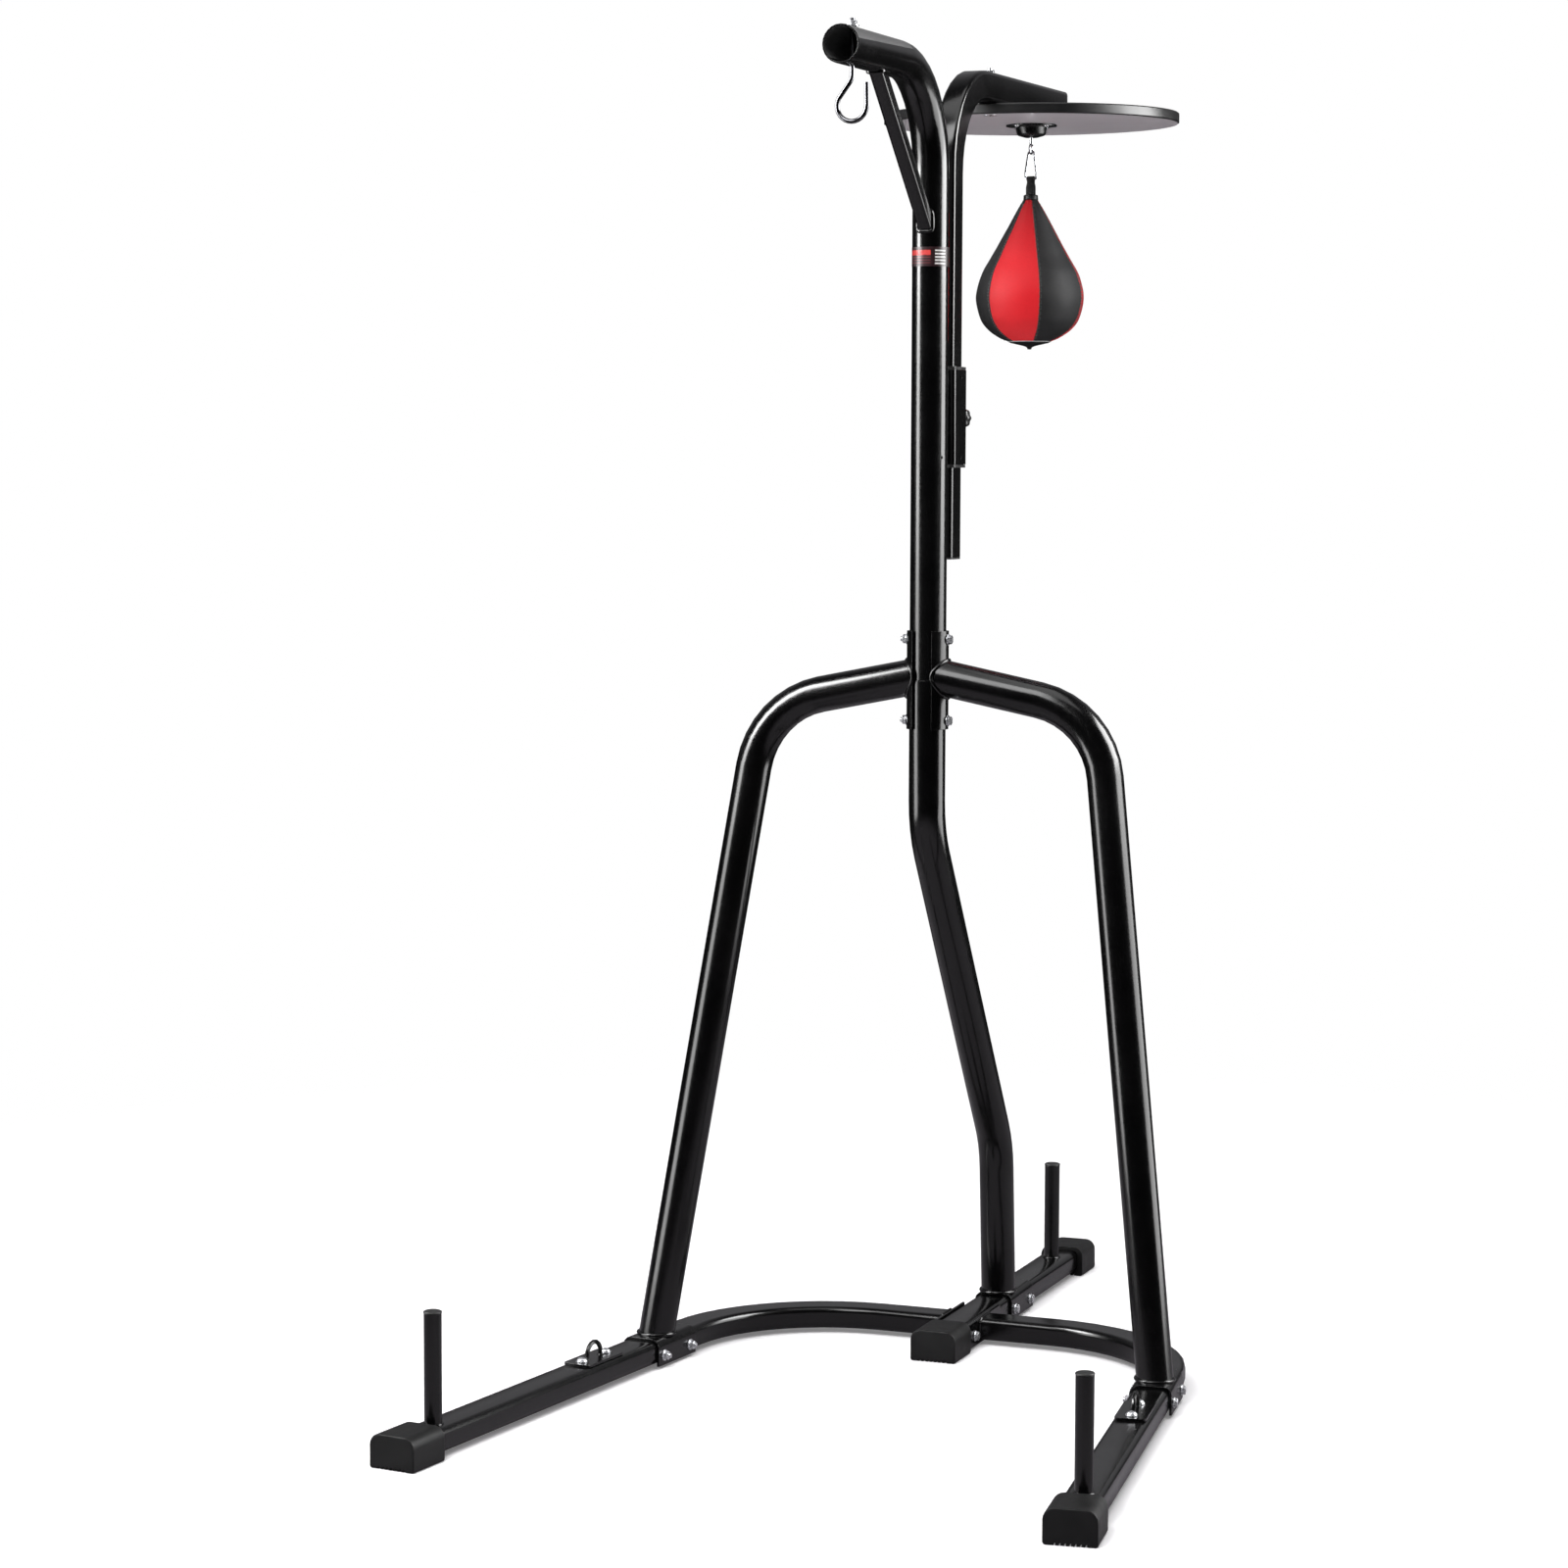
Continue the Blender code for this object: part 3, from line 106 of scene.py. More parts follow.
class Finish:
    """A Principled material and the nodes that vary it, all placed in the model's own metres."""

    def __init__(self, name, colour, roughness, metallic=0.0, **sockets):
        self.material = bpy.data.materials.new(name)
        self.material.use_nodes = True
        self.material.diffuse_color = (*colour, 1.0)
        self.tree = self.material.node_tree
        self.surface = self.tree.nodes["Principled BSDF"]
        self.surface.inputs["Base Color"].default_value = (*colour, 1.0)
        self.surface.inputs["Roughness"].default_value = roughness
        self.surface.inputs["Metallic"].default_value = metallic
        by_name = {socket.name.lower().replace(" ", "_"): socket for socket in self.surface.inputs}
        for socket, value in sockets.items():
            by_name[socket].default_value = value
        self.place = self.node("ShaderNodeTexCoord").outputs["Object"]
        self.relief = None

    def node(self, kind, **settings):
        made = self.tree.nodes.new(kind)
        for key, value in settings.items():
            setattr(made, key, value)
        return made

    def put(self, socket, value):
        """Links a socket to another one, or sets its number or colour."""
        if isinstance(value, bpy.types.NodeSocket):
            self.tree.links.new(value, socket)
        else:
            socket.default_value = value

    def feed(self, node, **values):
        """Sets or links a node's inputs by name."""
        for key, value in values.items():
            self.put(node.inputs[key.replace("_", " ")], value)
        return node

    def stretched(self, x, y, z):
        """The place with each axis scaled, for grain that runs one way."""
        mapping = self.node("ShaderNodeMapping")
        self.feed(mapping, Vector=self.place, Scale=(x, y, z))
        return mapping.outputs["Vector"]

    def noise(self, scale, detail=3.0, roughness=0.55, place=None):
        made = self.node("ShaderNodeTexNoise")
        self.feed(made, Vector=place or self.place, Scale=scale, Detail=detail, Roughness=roughness)
        return made.outputs["Fac"]

    def noise_colour(self, scale):
        """Three independent noises as a vector."""
        made = self.node("ShaderNodeTexNoise")
        self.feed(made, Vector=self.place, Scale=scale, Detail=2.0)
        return made.outputs["Color"]

    def cells(self, scale, feature="F1", place=None):
        made = self.node("ShaderNodeTexVoronoi", feature=feature)
        self.feed(made, Vector=place or self.place, Scale=scale)
        return made.outputs["Distance"]

    def spread(self, value, low, high, new_low=0.0, new_high=1.0):
        """Maps low..high of a value to new_low..new_high, held at the ends."""
        made = self.node("ShaderNodeMapRange")
        self.feed(made, Value=value)
        set_range(made, low, high, new_low, new_high)
        return made.outputs["Result"]

    def sum(self, operation, a, b):
        made = self.node("ShaderNodeMath", operation=operation)
        for socket, value in zip(made.inputs, (a, b)):
            self.put(socket, value)
        return made.outputs["Value"]

    def blend(self, factor, a, b):
        """Mixes two colours, given as triples or sockets."""
        made = self.node("ShaderNodeMix", data_type="RGBA")
        self.tree.links.new(factor, made.inputs["Factor"])
        for socket, value in zip((made.inputs[6], made.inputs[7]), (a, b)):
            self.put(socket, value if isinstance(value, bpy.types.NodeSocket) else (*value, 1.0))
        return made.outputs[2]

    def two_tone(self, value, low, high, dark, light):
        """Goes from one colour to another as a value goes from low to high."""
        return self.blend(self.spread(value, low, high), dark, light)

    def partly(self, factor, share, a, b):
        """Goes from colour a towards b by a share of a factor."""
        return self.blend(self.sum("MULTIPLY", factor, share), a, b)

    def colour(self, value):
        self.tree.links.new(value, self.surface.inputs["Base Color"])

    def gloss(self, value):
        self.tree.links.new(value, self.surface.inputs["Roughness"])

    def bump(self, height, distance, strength=1.0):
        """Adds one layer of relief over those before it."""
        made = self.node("ShaderNodeBump")
        self.feed(made, Height=height, Distance=distance, Strength=strength)
        if self.relief is not None:
            self.tree.links.new(self.relief, made.inputs["Normal"])
        self.relief = made.outputs["Normal"]
        self.tree.links.new(self.relief, self.surface.inputs["Normal"])

    def soft_edges(self, radius):
        """Rounds hard edges a little in the shading, and returns where those edges are, 0 to 1."""
        rounded = self.node("ShaderNodeBevel", samples=6)
        self.feed(rounded, Radius=radius)
        self.relief = rounded.outputs["Normal"]
        true_normal = self.node("ShaderNodeNewGeometry").outputs["Normal"]
        alike = self.node("ShaderNodeVectorMath", operation="DOT_PRODUCT")
        self.tree.links.new(rounded.outputs["Normal"], alike.inputs[0])
        self.tree.links.new(true_normal, alike.inputs[1])
        return self.spread(alike.outputs["Value"], 0.97, 0.80)


def powder_coat():
    """Gloss black powder coat: fine orange peel, faint handling haze and rubbed edges."""
    coat = Finish("powder_coat", (0.0018, 0.0018, 0.0020), 0.2, specular_ior_level=0.5)
    edge = coat.soft_edges(0.0012)
    haze = coat.noise(7.0, 5.0, 0.6)
    fine = coat.noise(160.0, 4.0, 0.6)
    rubbed = coat.sum("MULTIPLY", edge, coat.spread(fine, 0.46, 0.66))
    rough = coat.sum("ADD", coat.spread(haze, 0.35, 0.7, 0.15, 0.21), coat.spread(fine, 0.3, 0.75, 0.0, 0.05))
    coat.gloss(coat.sum("ADD", rough, coat.sum("MULTIPLY", rubbed, 0.25)))
    body = coat.two_tone(haze, 0.3, 0.7, (0.0006, 0.0006, 0.0007), (0.0014, 0.0013, 0.0015))
    coat.colour(coat.partly(rubbed, 0.5, body, (0.020, 0.020, 0.021)))
    coat.bump(coat.noise(720.0, 2.0, 0.5), 0.00004, 0.25)
    coat.bump(coat.noise(120.0, 2.0, 0.5), 0.00012, 0.2)
    return coat.material


def rubber():
    """Matt moulded rubber with a fine grain, soft patches and paler edges."""
    skin = Finish("moulded_rubber", (0.004, 0.004, 0.004), 0.5, specular_ior_level=0.28)
    edge = skin.soft_edges(0.0012)
    patches = skin.noise(24.0, 5.0, 0.65)
    pores = skin.noise(1500.0, 2.0, 0.6)
    skin.gloss(skin.sum("ADD", skin.spread(patches, 0.3, 0.7, 0.38, 0.54),
                        skin.spread(pores, 0.4, 0.7, 0.0, 0.08)))
    tone = skin.two_tone(patches, 0.35, 0.7, (0.0018, 0.0018, 0.0019), (0.0040, 0.0040, 0.0042))
    skin.colour(skin.partly(edge, 0.35, tone, (0.024, 0.024, 0.024)))
    skin.bump(pores, 0.00012, 0.5)
    skin.bump(skin.noise(260.0, 3.0, 0.5), 0.00015, 0.3)
    return skin.material


def zinc():
    """Zinc plated steel: cloudy crystal patches, fine drag marks and bright edges."""
    colour, rough = (0.74, 0.75, 0.78), 0.18
    metal = Finish("zinc_plate", colour, rough, 0.85)
    edge = metal.soft_edges(0.0006)
    cloud = metal.noise(220.0, 4.0, 0.6)
    drag = metal.noise(900.0, 3.0, 0.6, metal.stretched(1.0, 1.0, 0.12))
    metal.gloss(metal.sum("ADD", metal.spread(cloud, 0.3, 0.7, rough, rough + 0.12),
                          metal.spread(drag, 0.4, 0.7, 0.0, 0.08)))
    dull = tuple(c * 0.72 for c in colour)
    tone = metal.two_tone(cloud, 0.35, 0.65, dull, colour)
    metal.colour(metal.partly(edge, 0.5, tone, (0.80, 0.80, 0.82)))
    metal.bump(drag, 0.00004, 0.4)
    return metal.material


def chrome(name="chrome_plate", colour=(0.46, 0.47, 0.49), rough=0.07):
    """Bright plated wire with faint drawing lines and finger haze."""
    metal = Finish(name, colour, rough, 1.0)
    haze = metal.noise(90.0, 4.0, 0.6)
    metal.gloss(metal.spread(haze, 0.35, 0.75, rough, rough + 0.12))
    metal.colour(metal.two_tone(haze, 0.3, 0.7, colour, tuple(c * 0.86 for c in colour)))
    metal.bump(metal.noise(1400.0, 2.0, 0.5, metal.stretched(1.0, 1.0, 0.15)), 0.00002, 0.3)
    return metal.material


def plastic(name="moulded_plastic", shade=0.010, rough=0.42):
    """Black nylon with the even texture of a spark-eroded mould."""
    skin = Finish(name, (shade, shade, shade * 1.05), rough, specular_ior_level=0.45)
    edge = skin.soft_edges(0.0007)
    texture = skin.cells(1900.0)
    wear = skin.noise(70.0, 4.0, 0.6)
    skin.gloss(skin.spread(wear, 0.35, 0.7, rough - 0.06, rough + 0.12))
    tone = skin.two_tone(wear, 0.3, 0.7, (shade * 0.8,) * 3, (shade * 1.25,) * 3)
    skin.colour(skin.partly(edge, 0.4, tone, (shade * 3,) * 3))
    skin.bump(texture, 0.00008, 0.35)
    return skin.material


def board_black():
    """Black painted top and edge of the board, with a little roller texture."""
    paint = Finish("board_black_paint", (0.012, 0.012, 0.013), 0.38)
    edge = paint.soft_edges(0.0012)
    roller = paint.noise(420.0, 3.0, 0.6)
    blotch = paint.noise(9.0, 4.0, 0.6)
    paint.gloss(paint.spread(blotch, 0.3, 0.7, 0.30, 0.44))
    tone = paint.two_tone(blotch, 0.3, 0.7, (0.0022, 0.0022, 0.0024), (0.0048, 0.0048, 0.0052))
    paint.colour(paint.partly(edge, 0.5, tone, (0.030, 0.028, 0.027)))
    paint.bump(roller, 0.00012, 0.4)
    return paint.material


def board_laminate():
    """Pale grey lilac under the board: a painted reflection of the bright floor in the board's black face,
    with a faint grain along X and light scuffs.
    """
    underside_reflection_paint = Finish("board_laminate", (0.58, 0.535, 0.565), 0.26)
    grain = underside_reflection_paint.noise(34.0, 6.0, 0.65, underside_reflection_paint.stretched(0.35, 7.0, 1.0))
    blotch = underside_reflection_paint.noise(5.0, 4.0, 0.5)
    scuff = underside_reflection_paint.spread(underside_reflection_paint.noise(60.0, 5.0, 0.7, underside_reflection_paint.stretched(1.0, 0.25, 1.0)), 0.62, 0.72)
    tone = underside_reflection_paint.two_tone(grain, 0.3, 0.7, (0.665, 0.622, 0.658), (0.685, 0.643, 0.679))
    patches = underside_reflection_paint.sum("MULTIPLY", underside_reflection_paint.spread(blotch, 0.35, 0.7), 0.20)
    tone = underside_reflection_paint.blend(patches, tone, (0.69, 0.655, 0.685))
    underside_reflection_paint.colour(underside_reflection_paint.partly(scuff, 0.07, tone, (0.78, 0.76, 0.77)))
    underside_reflection_paint.gloss(underside_reflection_paint.spread(grain, 0.3, 0.7, 0.22, 0.27))
    underside_reflection_paint.bump(grain, 0.00008, 0.35)
    return underside_reflection_paint.material


def leather(name, dark, light, rough, coat, grain=520.0):
    """Coated leather: pebbled grain with painted shade in the grooves between the pebbles, fine waviness,
    soft creases and rubbed colour.
    """
    hide = Finish(name, light, rough, specular_ior_level=0.12, coat_weight=coat, coat_roughness=rough * 0.8)
    warp = hide.noise(300.0, 2.0, 0.5)
    offset = hide.node("ShaderNodeVectorMath", operation="ADD")
    hide.tree.links.new(hide.place, offset.inputs[0])
    scaled = hide.node("ShaderNodeVectorMath", operation="SCALE")
    hide.tree.links.new(hide.noise_colour(300.0), scaled.inputs[0])
    scaled.inputs["Scale"].default_value = 0.0012
    hide.tree.links.new(scaled.outputs["Vector"], offset.inputs[1])
    pebbles = hide.spread(hide.cells(grain, "DISTANCE_TO_EDGE", offset.outputs["Vector"]), 0.0, 0.22)
    fold = hide.noise(26.0, 5.0, 0.6)
    rub = hide.noise(11.0, 4.0, 0.55)
    hide.gloss(hide.sum("ADD", hide.spread(rub, 0.3, 0.7, rough - 0.06, rough + 0.08),
                        hide.spread(pebbles, 1.0, 0.0, 0.0, 0.10)))
    tone = hide.two_tone(rub, 0.25, 0.75, dark, light)
    # Painted shade: the grooves between the pebbles are darkened to 0.72 of the dark tone.
    hollow_shade = tuple(c * 0.72 for c in dark)
    hide.colour(hide.blend(hide.spread(pebbles, 0.9, 0.0, 0.0, 0.55), tone, hollow_shade))
    hide.bump(fold, 0.0006, 0.25)
    hide.bump(pebbles, 0.00010, 0.55)
    hide.bump(warp, 0.00005, 0.4)
    return hide.material


def thread(name, colour):
    """Waxed sewing thread with a twist."""
    yarn = Finish(name, colour, 0.55, sheen_weight=0.3)
    twist = yarn.node("ShaderNodeTexWave", bands_direction="DIAGONAL")
    yarn.feed(twist, Vector=yarn.place, Scale=900.0, Distortion=1.5)
    yarn.colour(yarn.blend(twist.outputs["Fac"], tuple(c * 0.55 for c in colour), colour))
    yarn.gloss(yarn.spread(yarn.noise(600.0), 0.3, 0.7, 0.45, 0.7))
    yarn.bump(twist.outputs["Fac"], 0.0001, 0.5)
    return yarn.material


def label_film(z0, z1):
    """Satin label: dark red bars and pale dashes on black, with no lettering."""
    film = Finish("label_film", (0.02, 0.004, 0.005), 0.30)
    split = film.node("ShaderNodeSeparateXYZ")
    film.feed(split, Vector=film.place)
    x, z = split.outputs["X"], split.outputs["Z"]
    height = film.spread(z, z0, z1)

    def bar(low, high):
        above = film.sum("GREATER_THAN", height, low)
        return film.sum("MULTIPLY", above, film.sum("LESS_THAN", height, high))

    left = film.sum("LESS_THAN", x, 0.010)
    right = film.sum("MULTIPLY", film.sum("GREATER_THAN", x, 0.0165), film.sum("LESS_THAN", x, 0.0285))
    worn = film.noise(500.0, 4.0, 0.6)
    black = film.two_tone(worn, 0.3, 0.7, (0.010, 0.003, 0.004), (0.022, 0.006, 0.008))
    wide = film.sum("MULTIPLY", left, bar(0.57, 0.83))
    red = film.two_tone(worn, 0.3, 0.7, (0.50, 0.030, 0.028), (0.66, 0.045, 0.04))
    tone = film.blend(wide, black, red)
    for low, high in ((0.44, 0.48), (0.30, 0.335), (0.16, 0.195)):
        tone = film.blend(film.sum("MULTIPLY", left, bar(low, high)), tone, (0.16, 0.035, 0.04))
    for k in range(5):
        low = 0.11 + 0.165 * k
        tone = film.blend(film.sum("MULTIPLY", right, bar(low, low + 0.075)), tone, (0.72, 0.71, 0.70))
    film.colour(tone)
    film.gloss(film.spread(worn, 0.3, 0.7, 0.28, 0.42))
    film.bump(film.noise(700.0, 2.0, 0.5), 0.00003, 0.3)
    return film.material


def inner_steel():
    """Bare inside of the arm's open end: thin overspray on grey steel."""
    steel = Finish("tube_inside", (0.03, 0.03, 0.031), 0.6, 0.2)
    dust = steel.noise(900.0, 4.0, 0.7)
    streak = steel.noise(60.0, 4.0, 0.6, steel.stretched(1.0, 0.1, 1.0))
    tone = steel.two_tone(dust, 0.35, 0.7, (0.040, 0.040, 0.041), (0.120, 0.120, 0.122))
    marks = steel.sum("MULTIPLY", steel.spread(streak, 0.4, 0.7), 0.4)
    steel.colour(steel.blend(marks, tone, (0.035, 0.032, 0.030)))
    steel.gloss(steel.spread(dust, 0.3, 0.7, 0.45, 0.75))
    steel.bump(dust, 0.0002, 0.6)
    return steel.material


COAT = powder_coat()
RUBBER = rubber()
ZINC = zinc()
CHROME = chrome()
DARK_STEEL = chrome("blackened_hook_steel", (0.15, 0.15, 0.16), 0.12)
PLASTIC = plastic()
HOUSING_PAINT = plastic("swivel_enamel", 0.0024, 0.26)
KNOB_PLASTIC = plastic("knob_plastic", 0.010, 0.34)
BOARD_BLACK = board_black()
# Painted reflection: the board's underside is painted pale lilac in place of the floor mirrored in its black
# face.
BOARD_UNDERSIDE_PAINTED_REFLECTION = board_laminate()
RED_LEATHER = leather("red_leather", (0.70, 0.015, 0.022), (0.82, 0.022, 0.030), 0.50, 0.0)
BLACK_LEATHER = leather("black_leather", (0.016, 0.016, 0.0165), (0.028, 0.028, 0.029), 0.50, 0.0)
STRAP_LEATHER = leather("strap_leather", (0.0040, 0.0040, 0.0042), (0.0090, 0.0090, 0.0095), 0.36, 0.12,
                        640.0)
BLACK_THREAD = thread("black_thread", (0.030, 0.029, 0.029))
GREY_THREAD = thread("grey_piping", (0.62, 0.62, 0.63))
TUBE_INSIDE = inner_steel()


# --- CAD nodes: shading normals and finishes ------------------------------------------------------
def read(items, key, width=1, kind=float):
    """One property of a mesh's vertices, loops or faces as an array."""
    values = np.empty(len(items) * width, kind)
    items.foreach_get(key, values)
    return values.reshape(-1, width) if width > 1 else values


def smooth_shading(obj, limit_deg=38.0):
    """Sets smooth shading normals from the welded surface; no point of the mesh moves."""
    mesh = obj.data
    faces = mesh.polygons
    faces.foreach_set("use_smooth", np.ones(len(faces), bool))
    co = read(mesh.vertices, "co", 3)
    corner = read(mesh.loops, "vertex_index", kind=np.int64)
    normal = read(faces, "normal", 3)
    area = read(faces, "area")
    face_of = np.repeat(np.arange(len(faces)), read(faces, "loop_total", kind=np.int64))
    spot = np.unique(np.round(co[corner] * 1e5).astype(np.int64), axis=0, return_inverse=True)[1].ravel()
    order = np.argsort(spot, kind="stable")
    starts = np.flatnonzero(np.r_[True, np.diff(spot[order]) > 0])
    weight = np.minimum(area, 2e-3) + 1e-9
    limit = math.cos(math.radians(limit_deg))
    result = np.empty((len(corner), 3))
    for group in np.split(order, starts[1:]):
        n = normal[face_of[group]]
        w = weight[face_of[group]]
        near = (n @ n.T > limit) * w
        total = near @ n
        result[group] = total / np.maximum(np.linalg.norm(total, axis=1, keepdims=True), 1e-12)
    mesh.normals_split_custom_set(result.tolist())


SLOT_FINISH = {"powder_coat": COAT, "rubber": RUBBER, "zinc": ZINC, "chrome": CHROME, "plastic": PLASTIC,
               "knob": KNOB_PLASTIC, "board": BOARD_BLACK, "red_leather": RED_LEATHER,
               "black_leather": STRAP_LEATHER}
NODE_FINISH = {"heavy_bag_hook": DARK_STEEL, "swivel_housing": HOUSING_PAINT}


def set_material(obj, material):
    obj.data.materials.clear()
    obj.data.materials.append(material)


def second_material(obj, material, chosen):
    """Gives the faces for which chosen(centre, normal) is true a second material."""
    obj.data.materials.append(material)
    for face in obj.data.polygons:
        if chosen(face.center, face.normal):
            face.material_index = 1


def dress_nodes():
    for part in frame["record"]["subparts"]:
        obj = frame["nodes"][part["node"]]
        smooth_shading(obj)
        set_material(obj, NODE_FINISH.get(part["node"], SLOT_FINISH[part["material_slot"]]))
    # Faces that point down get the pale painted reflection of the floor, not the black paint.
    second_material(frame["nodes"]["platform_board"], BOARD_UNDERSIDE_PAINTED_REFLECTION, lambda c, n: n.z < -0.9)
    bore = TUBE_R - 0.001

    def inside_arm(c, n):
        return c.y < POLE_Y - 0.2 and math.hypot(c.x, c.z - ARM_Z) < bore and abs(n.y) < 0.5

    second_material(frame["nodes"]["main_post"], TUBE_INSIDE, inside_arm)


# --- mesh helpers ---------------------------------------------------------------------------------
def curve_through(points, count):
    """count points, evenly spaced, on a smooth curve through the given ones (Catmull-Rom)."""
    p = [Vector(q) for q in points]
    p = [2 * p[0] - p[1]] + p + [2 * p[-1] - p[-2]]
    fine = []
    for i in range(1, len(p) - 2):
        for k in range(24):
            t = k / 24
            a, b, c, d = p[i - 1], p[i], p[i + 1], p[i + 2]
            fine.append(0.5 * (2 * b + (c - a) * t + (2 * a - 5 * b + 4 * c - d) * t * t
                               + (3 * b - a - 3 * c + d) * t ** 3))
    fine.append(p[-2])
    steps = [0.0]
    for a, b in zip(fine, fine[1:]):
        steps.append(steps[-1] + (b - a).length)
    result = []
    k = 0
    for i in range(count):
        want = steps[-1] * i / (count - 1)
        while k < len(fine) - 2 and steps[k + 1] < want:
            k += 1
        part = (want - steps[k]) / max(steps[k + 1] - steps[k], 1e-12)
        result.append(fine[k].lerp(fine[k + 1], min(max(part, 0.0), 1.0)))
    return result


def frames_along(points, closed, up=None):
    """A direction, a side and an up vector at each point, turned as little as possible."""
    count = len(points)
    result = []
    side = None
    for i in range(count):
        before = points[(i - 1) % count] if closed or i else points[0]
        after = points[(i + 1) % count] if closed or i < count - 1 else points[-1]
        ahead = (after - before).normalized()
        if side is None:
            lift = Vector(up) if up else (Vector((0, 0, 1)) if abs(ahead.z) < 0.9 else Vector((1, 0, 0)))
            side = ahead.cross(lift).normalized()
        elif up:
            side = ahead.cross(Vector(up)).normalized()
        else:
            side = (side - ahead * side.dot(ahead)).normalized()
        result.append((ahead, side, side.cross(ahead).normalized()))
    return result


def add_tube(bm, points, radius, sides=8, closed=False, section=None, up=None):
    """Adds a closed tube along points. radius may be a number or one for each point; section may
    be a list of (across, up) pairs to use in place of a circle."""
    count = len(points)
    radii = [radius] * count if isinstance(radius, (int, float)) else list(radius)
    shape = section or [(math.cos(2 * math.pi * k / sides), math.sin(2 * math.pi * k / sides))
                        for k in range(sides)]
    rings = []
    for point, r, (ahead, side, lift) in zip(points, radii, frames_along(points, closed, up)):
        rings.append([bm.verts.new(point + (side * a + lift * b) * r) for a, b in shape])
    pairs = list(zip(rings, rings[1:])) + ([(rings[-1], rings[0])] if closed else [])
    for low, high in pairs:
        for k in range(len(shape)):
            n = (k + 1) % len(shape)
            bm.faces.new((low[k], high[k], high[n], low[n]))
    if not closed:
        for ring, flip in ((rings[0], False), (rings[-1], True)):
            middle = bm.verts.new(sum((v.co for v in ring), Vector()) / len(ring))
            for k in range(len(ring)):
                n = (k + 1) % len(ring)
                bm.faces.new((ring[n], middle, ring[k]) if flip else (ring[k], middle, ring[n]))
    return rings


def add_lathe(bm, outline, steps, matrix=None, swell=None):
    """Adds a turned solid about Z: outline is (radius, height) from axis to axis. swell(angle,
    radius, height) may return a changed radius."""
    rings = []
    for r, z in outline:
        if r < 1e-6:
            rings.append([bm.verts.new((0, 0, z))])
            continue
        ring = []
        for k in range(steps):
            a = 2 * math.pi * k / steps
            now = swell(a, r, z) if swell else r
            ring.append(bm.verts.new((now * math.cos(a), now * math.sin(a), z)))
        rings.append(ring)
    made = [v for ring in rings for v in ring]
    for low, high in zip(rings, rings[1:]):
        for k in range(steps):
            n = (k + 1) % steps
            quad = [low[k % len(low)], low[n % len(low)], high[n % len(high)], high[k % len(high)]]
            face = [v for i, v in enumerate(quad) if v not in quad[:i]]
            if len(face) > 2:
                bm.faces.new(face)
    if matrix is not None:
        bmesh.ops.transform(bm, matrix=matrix, verts=made)
    return made


def mesh_from(name, bm):
    """A mesh with a bmesh's faces; the bmesh is freed."""
    mesh = bpy.data.meshes.new(name)
    bm.to_mesh(mesh)
    bm.free()
    return mesh


def add_object(name, data):
    obj = bpy.data.objects.new(name, data)
    bpy.context.scene.collection.objects.link(obj)
    return obj


def piece(name, bm, material, body, sharp_deg=40.0, levels=0):
    """Turns a bmesh into a shaded piece that rides on a body."""
    bmesh.ops.recalc_face_normals(bm, faces=bm.faces)
    mesh = mesh_from(name, bm)
    obj = add_object(name, mesh)
    for one in material if isinstance(material, (list, tuple)) else (material,):
        mesh.materials.append(one)
    mesh.shade_smooth()
    mesh.set_sharp_from_angle(angle=math.radians(sharp_deg))
    if levels:
        fine = obj.modifiers.new("fine", "SUBSURF")
        fine.levels = fine.render_levels = levels
    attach(obj, body)
    return obj


def foot_frame(side):
    """Local frame of a foot: Y runs forward along it from the leg, X across, Z up."""
    forward = Vector((side * math.sin(SPLAY), -math.cos(SPLAY), 0))
    across = Vector((forward.y, -forward.x, 0))
    place = Vector((side * LEG_PATH[2].x, LEG_PATH[2].y + POLE_Y, 0))
    return Matrix(((across.x, forward.x, 0, place.x), (across.y, forward.y, 0, place.y), (0, 0, 1, 0),
                   (0, 0, 0, 1)))


# --- welds ----------------------------------------------------------------------------------------
BEAD = 0.0026
WELD_LIFT = 0.0006                                 # a bead's axis stands this far out of what it joins
SIDES = ((-1, "left"), (1, "right"))
ANCHOR_Y, ANCHOR_HALF = 0.203, 0.0215              # anchor loop: place along the rail, half its width
ARC_JOINT_Y = 0.2245                               # where the rear arcs meet the centre cradle
RAIL_HALVES, RAIL_CORNER = (0.0300, 0.0190), 0.010
WEB_HALF = 0.0134                                  # half the sleeve's web and 0.4 mm: its welds on the pole
NUT_CORNER = 0.0112                                # corner radius of the bead round the clamp screw's nut


def add_weld(bm, points, radius=BEAD, closed=True, seed=0.0):
    """A weld bead: a half-sunk cord whose thickness ripples like stacked coins."""
    length = sum((b - a).length for a, b in zip(points, points[1:] + points[:1] if closed else points[1:]))
    count = max(8, int(length / 0.0011))
    path = curve_through(points + points[:1] if closed else points, count + 1 if closed else count)
    if closed:
        path = path[:-1]
    radii = []
    for i, p in enumerate(path):
        ripple = abs(math.sin(math.pi * i / 2.6))
        wander = noise.noise(p * 60 + Vector((seed, 0, 0)))
        end = 1.0 if closed else min(1.0, 0.35 + min(i, len(path) - 1 - i) / 3)
        radii.append(radius * (0.94 + 0.09 * ripple + 0.16 * wander) * end)
    add_tube(bm, path, radii, 8, closed)


def weld_piece(name, bm):
    piece(name, bm, COAT, "stand", 60)


def ring_on(surface, centre, direction, radius, steps=40):
    """Points where a round tube along direction meets a surface; surface(point, direction) gives
    how far a point must slide along direction to reach it."""
    direction = direction.normalized()
    side = direction.orthogonal().normalized()
    lift = direction.cross(side)
    result = []
    for k in range(steps):
        a = 2 * math.pi * k / steps
        p = centre + (side * math.cos(a) + lift * math.sin(a)) * radius
        result.append(p + direction * surface(p, direction))
    return result


def level(z):
    """Surface: a level plane."""
    return lambda p, d: (z - p.z) / d.z


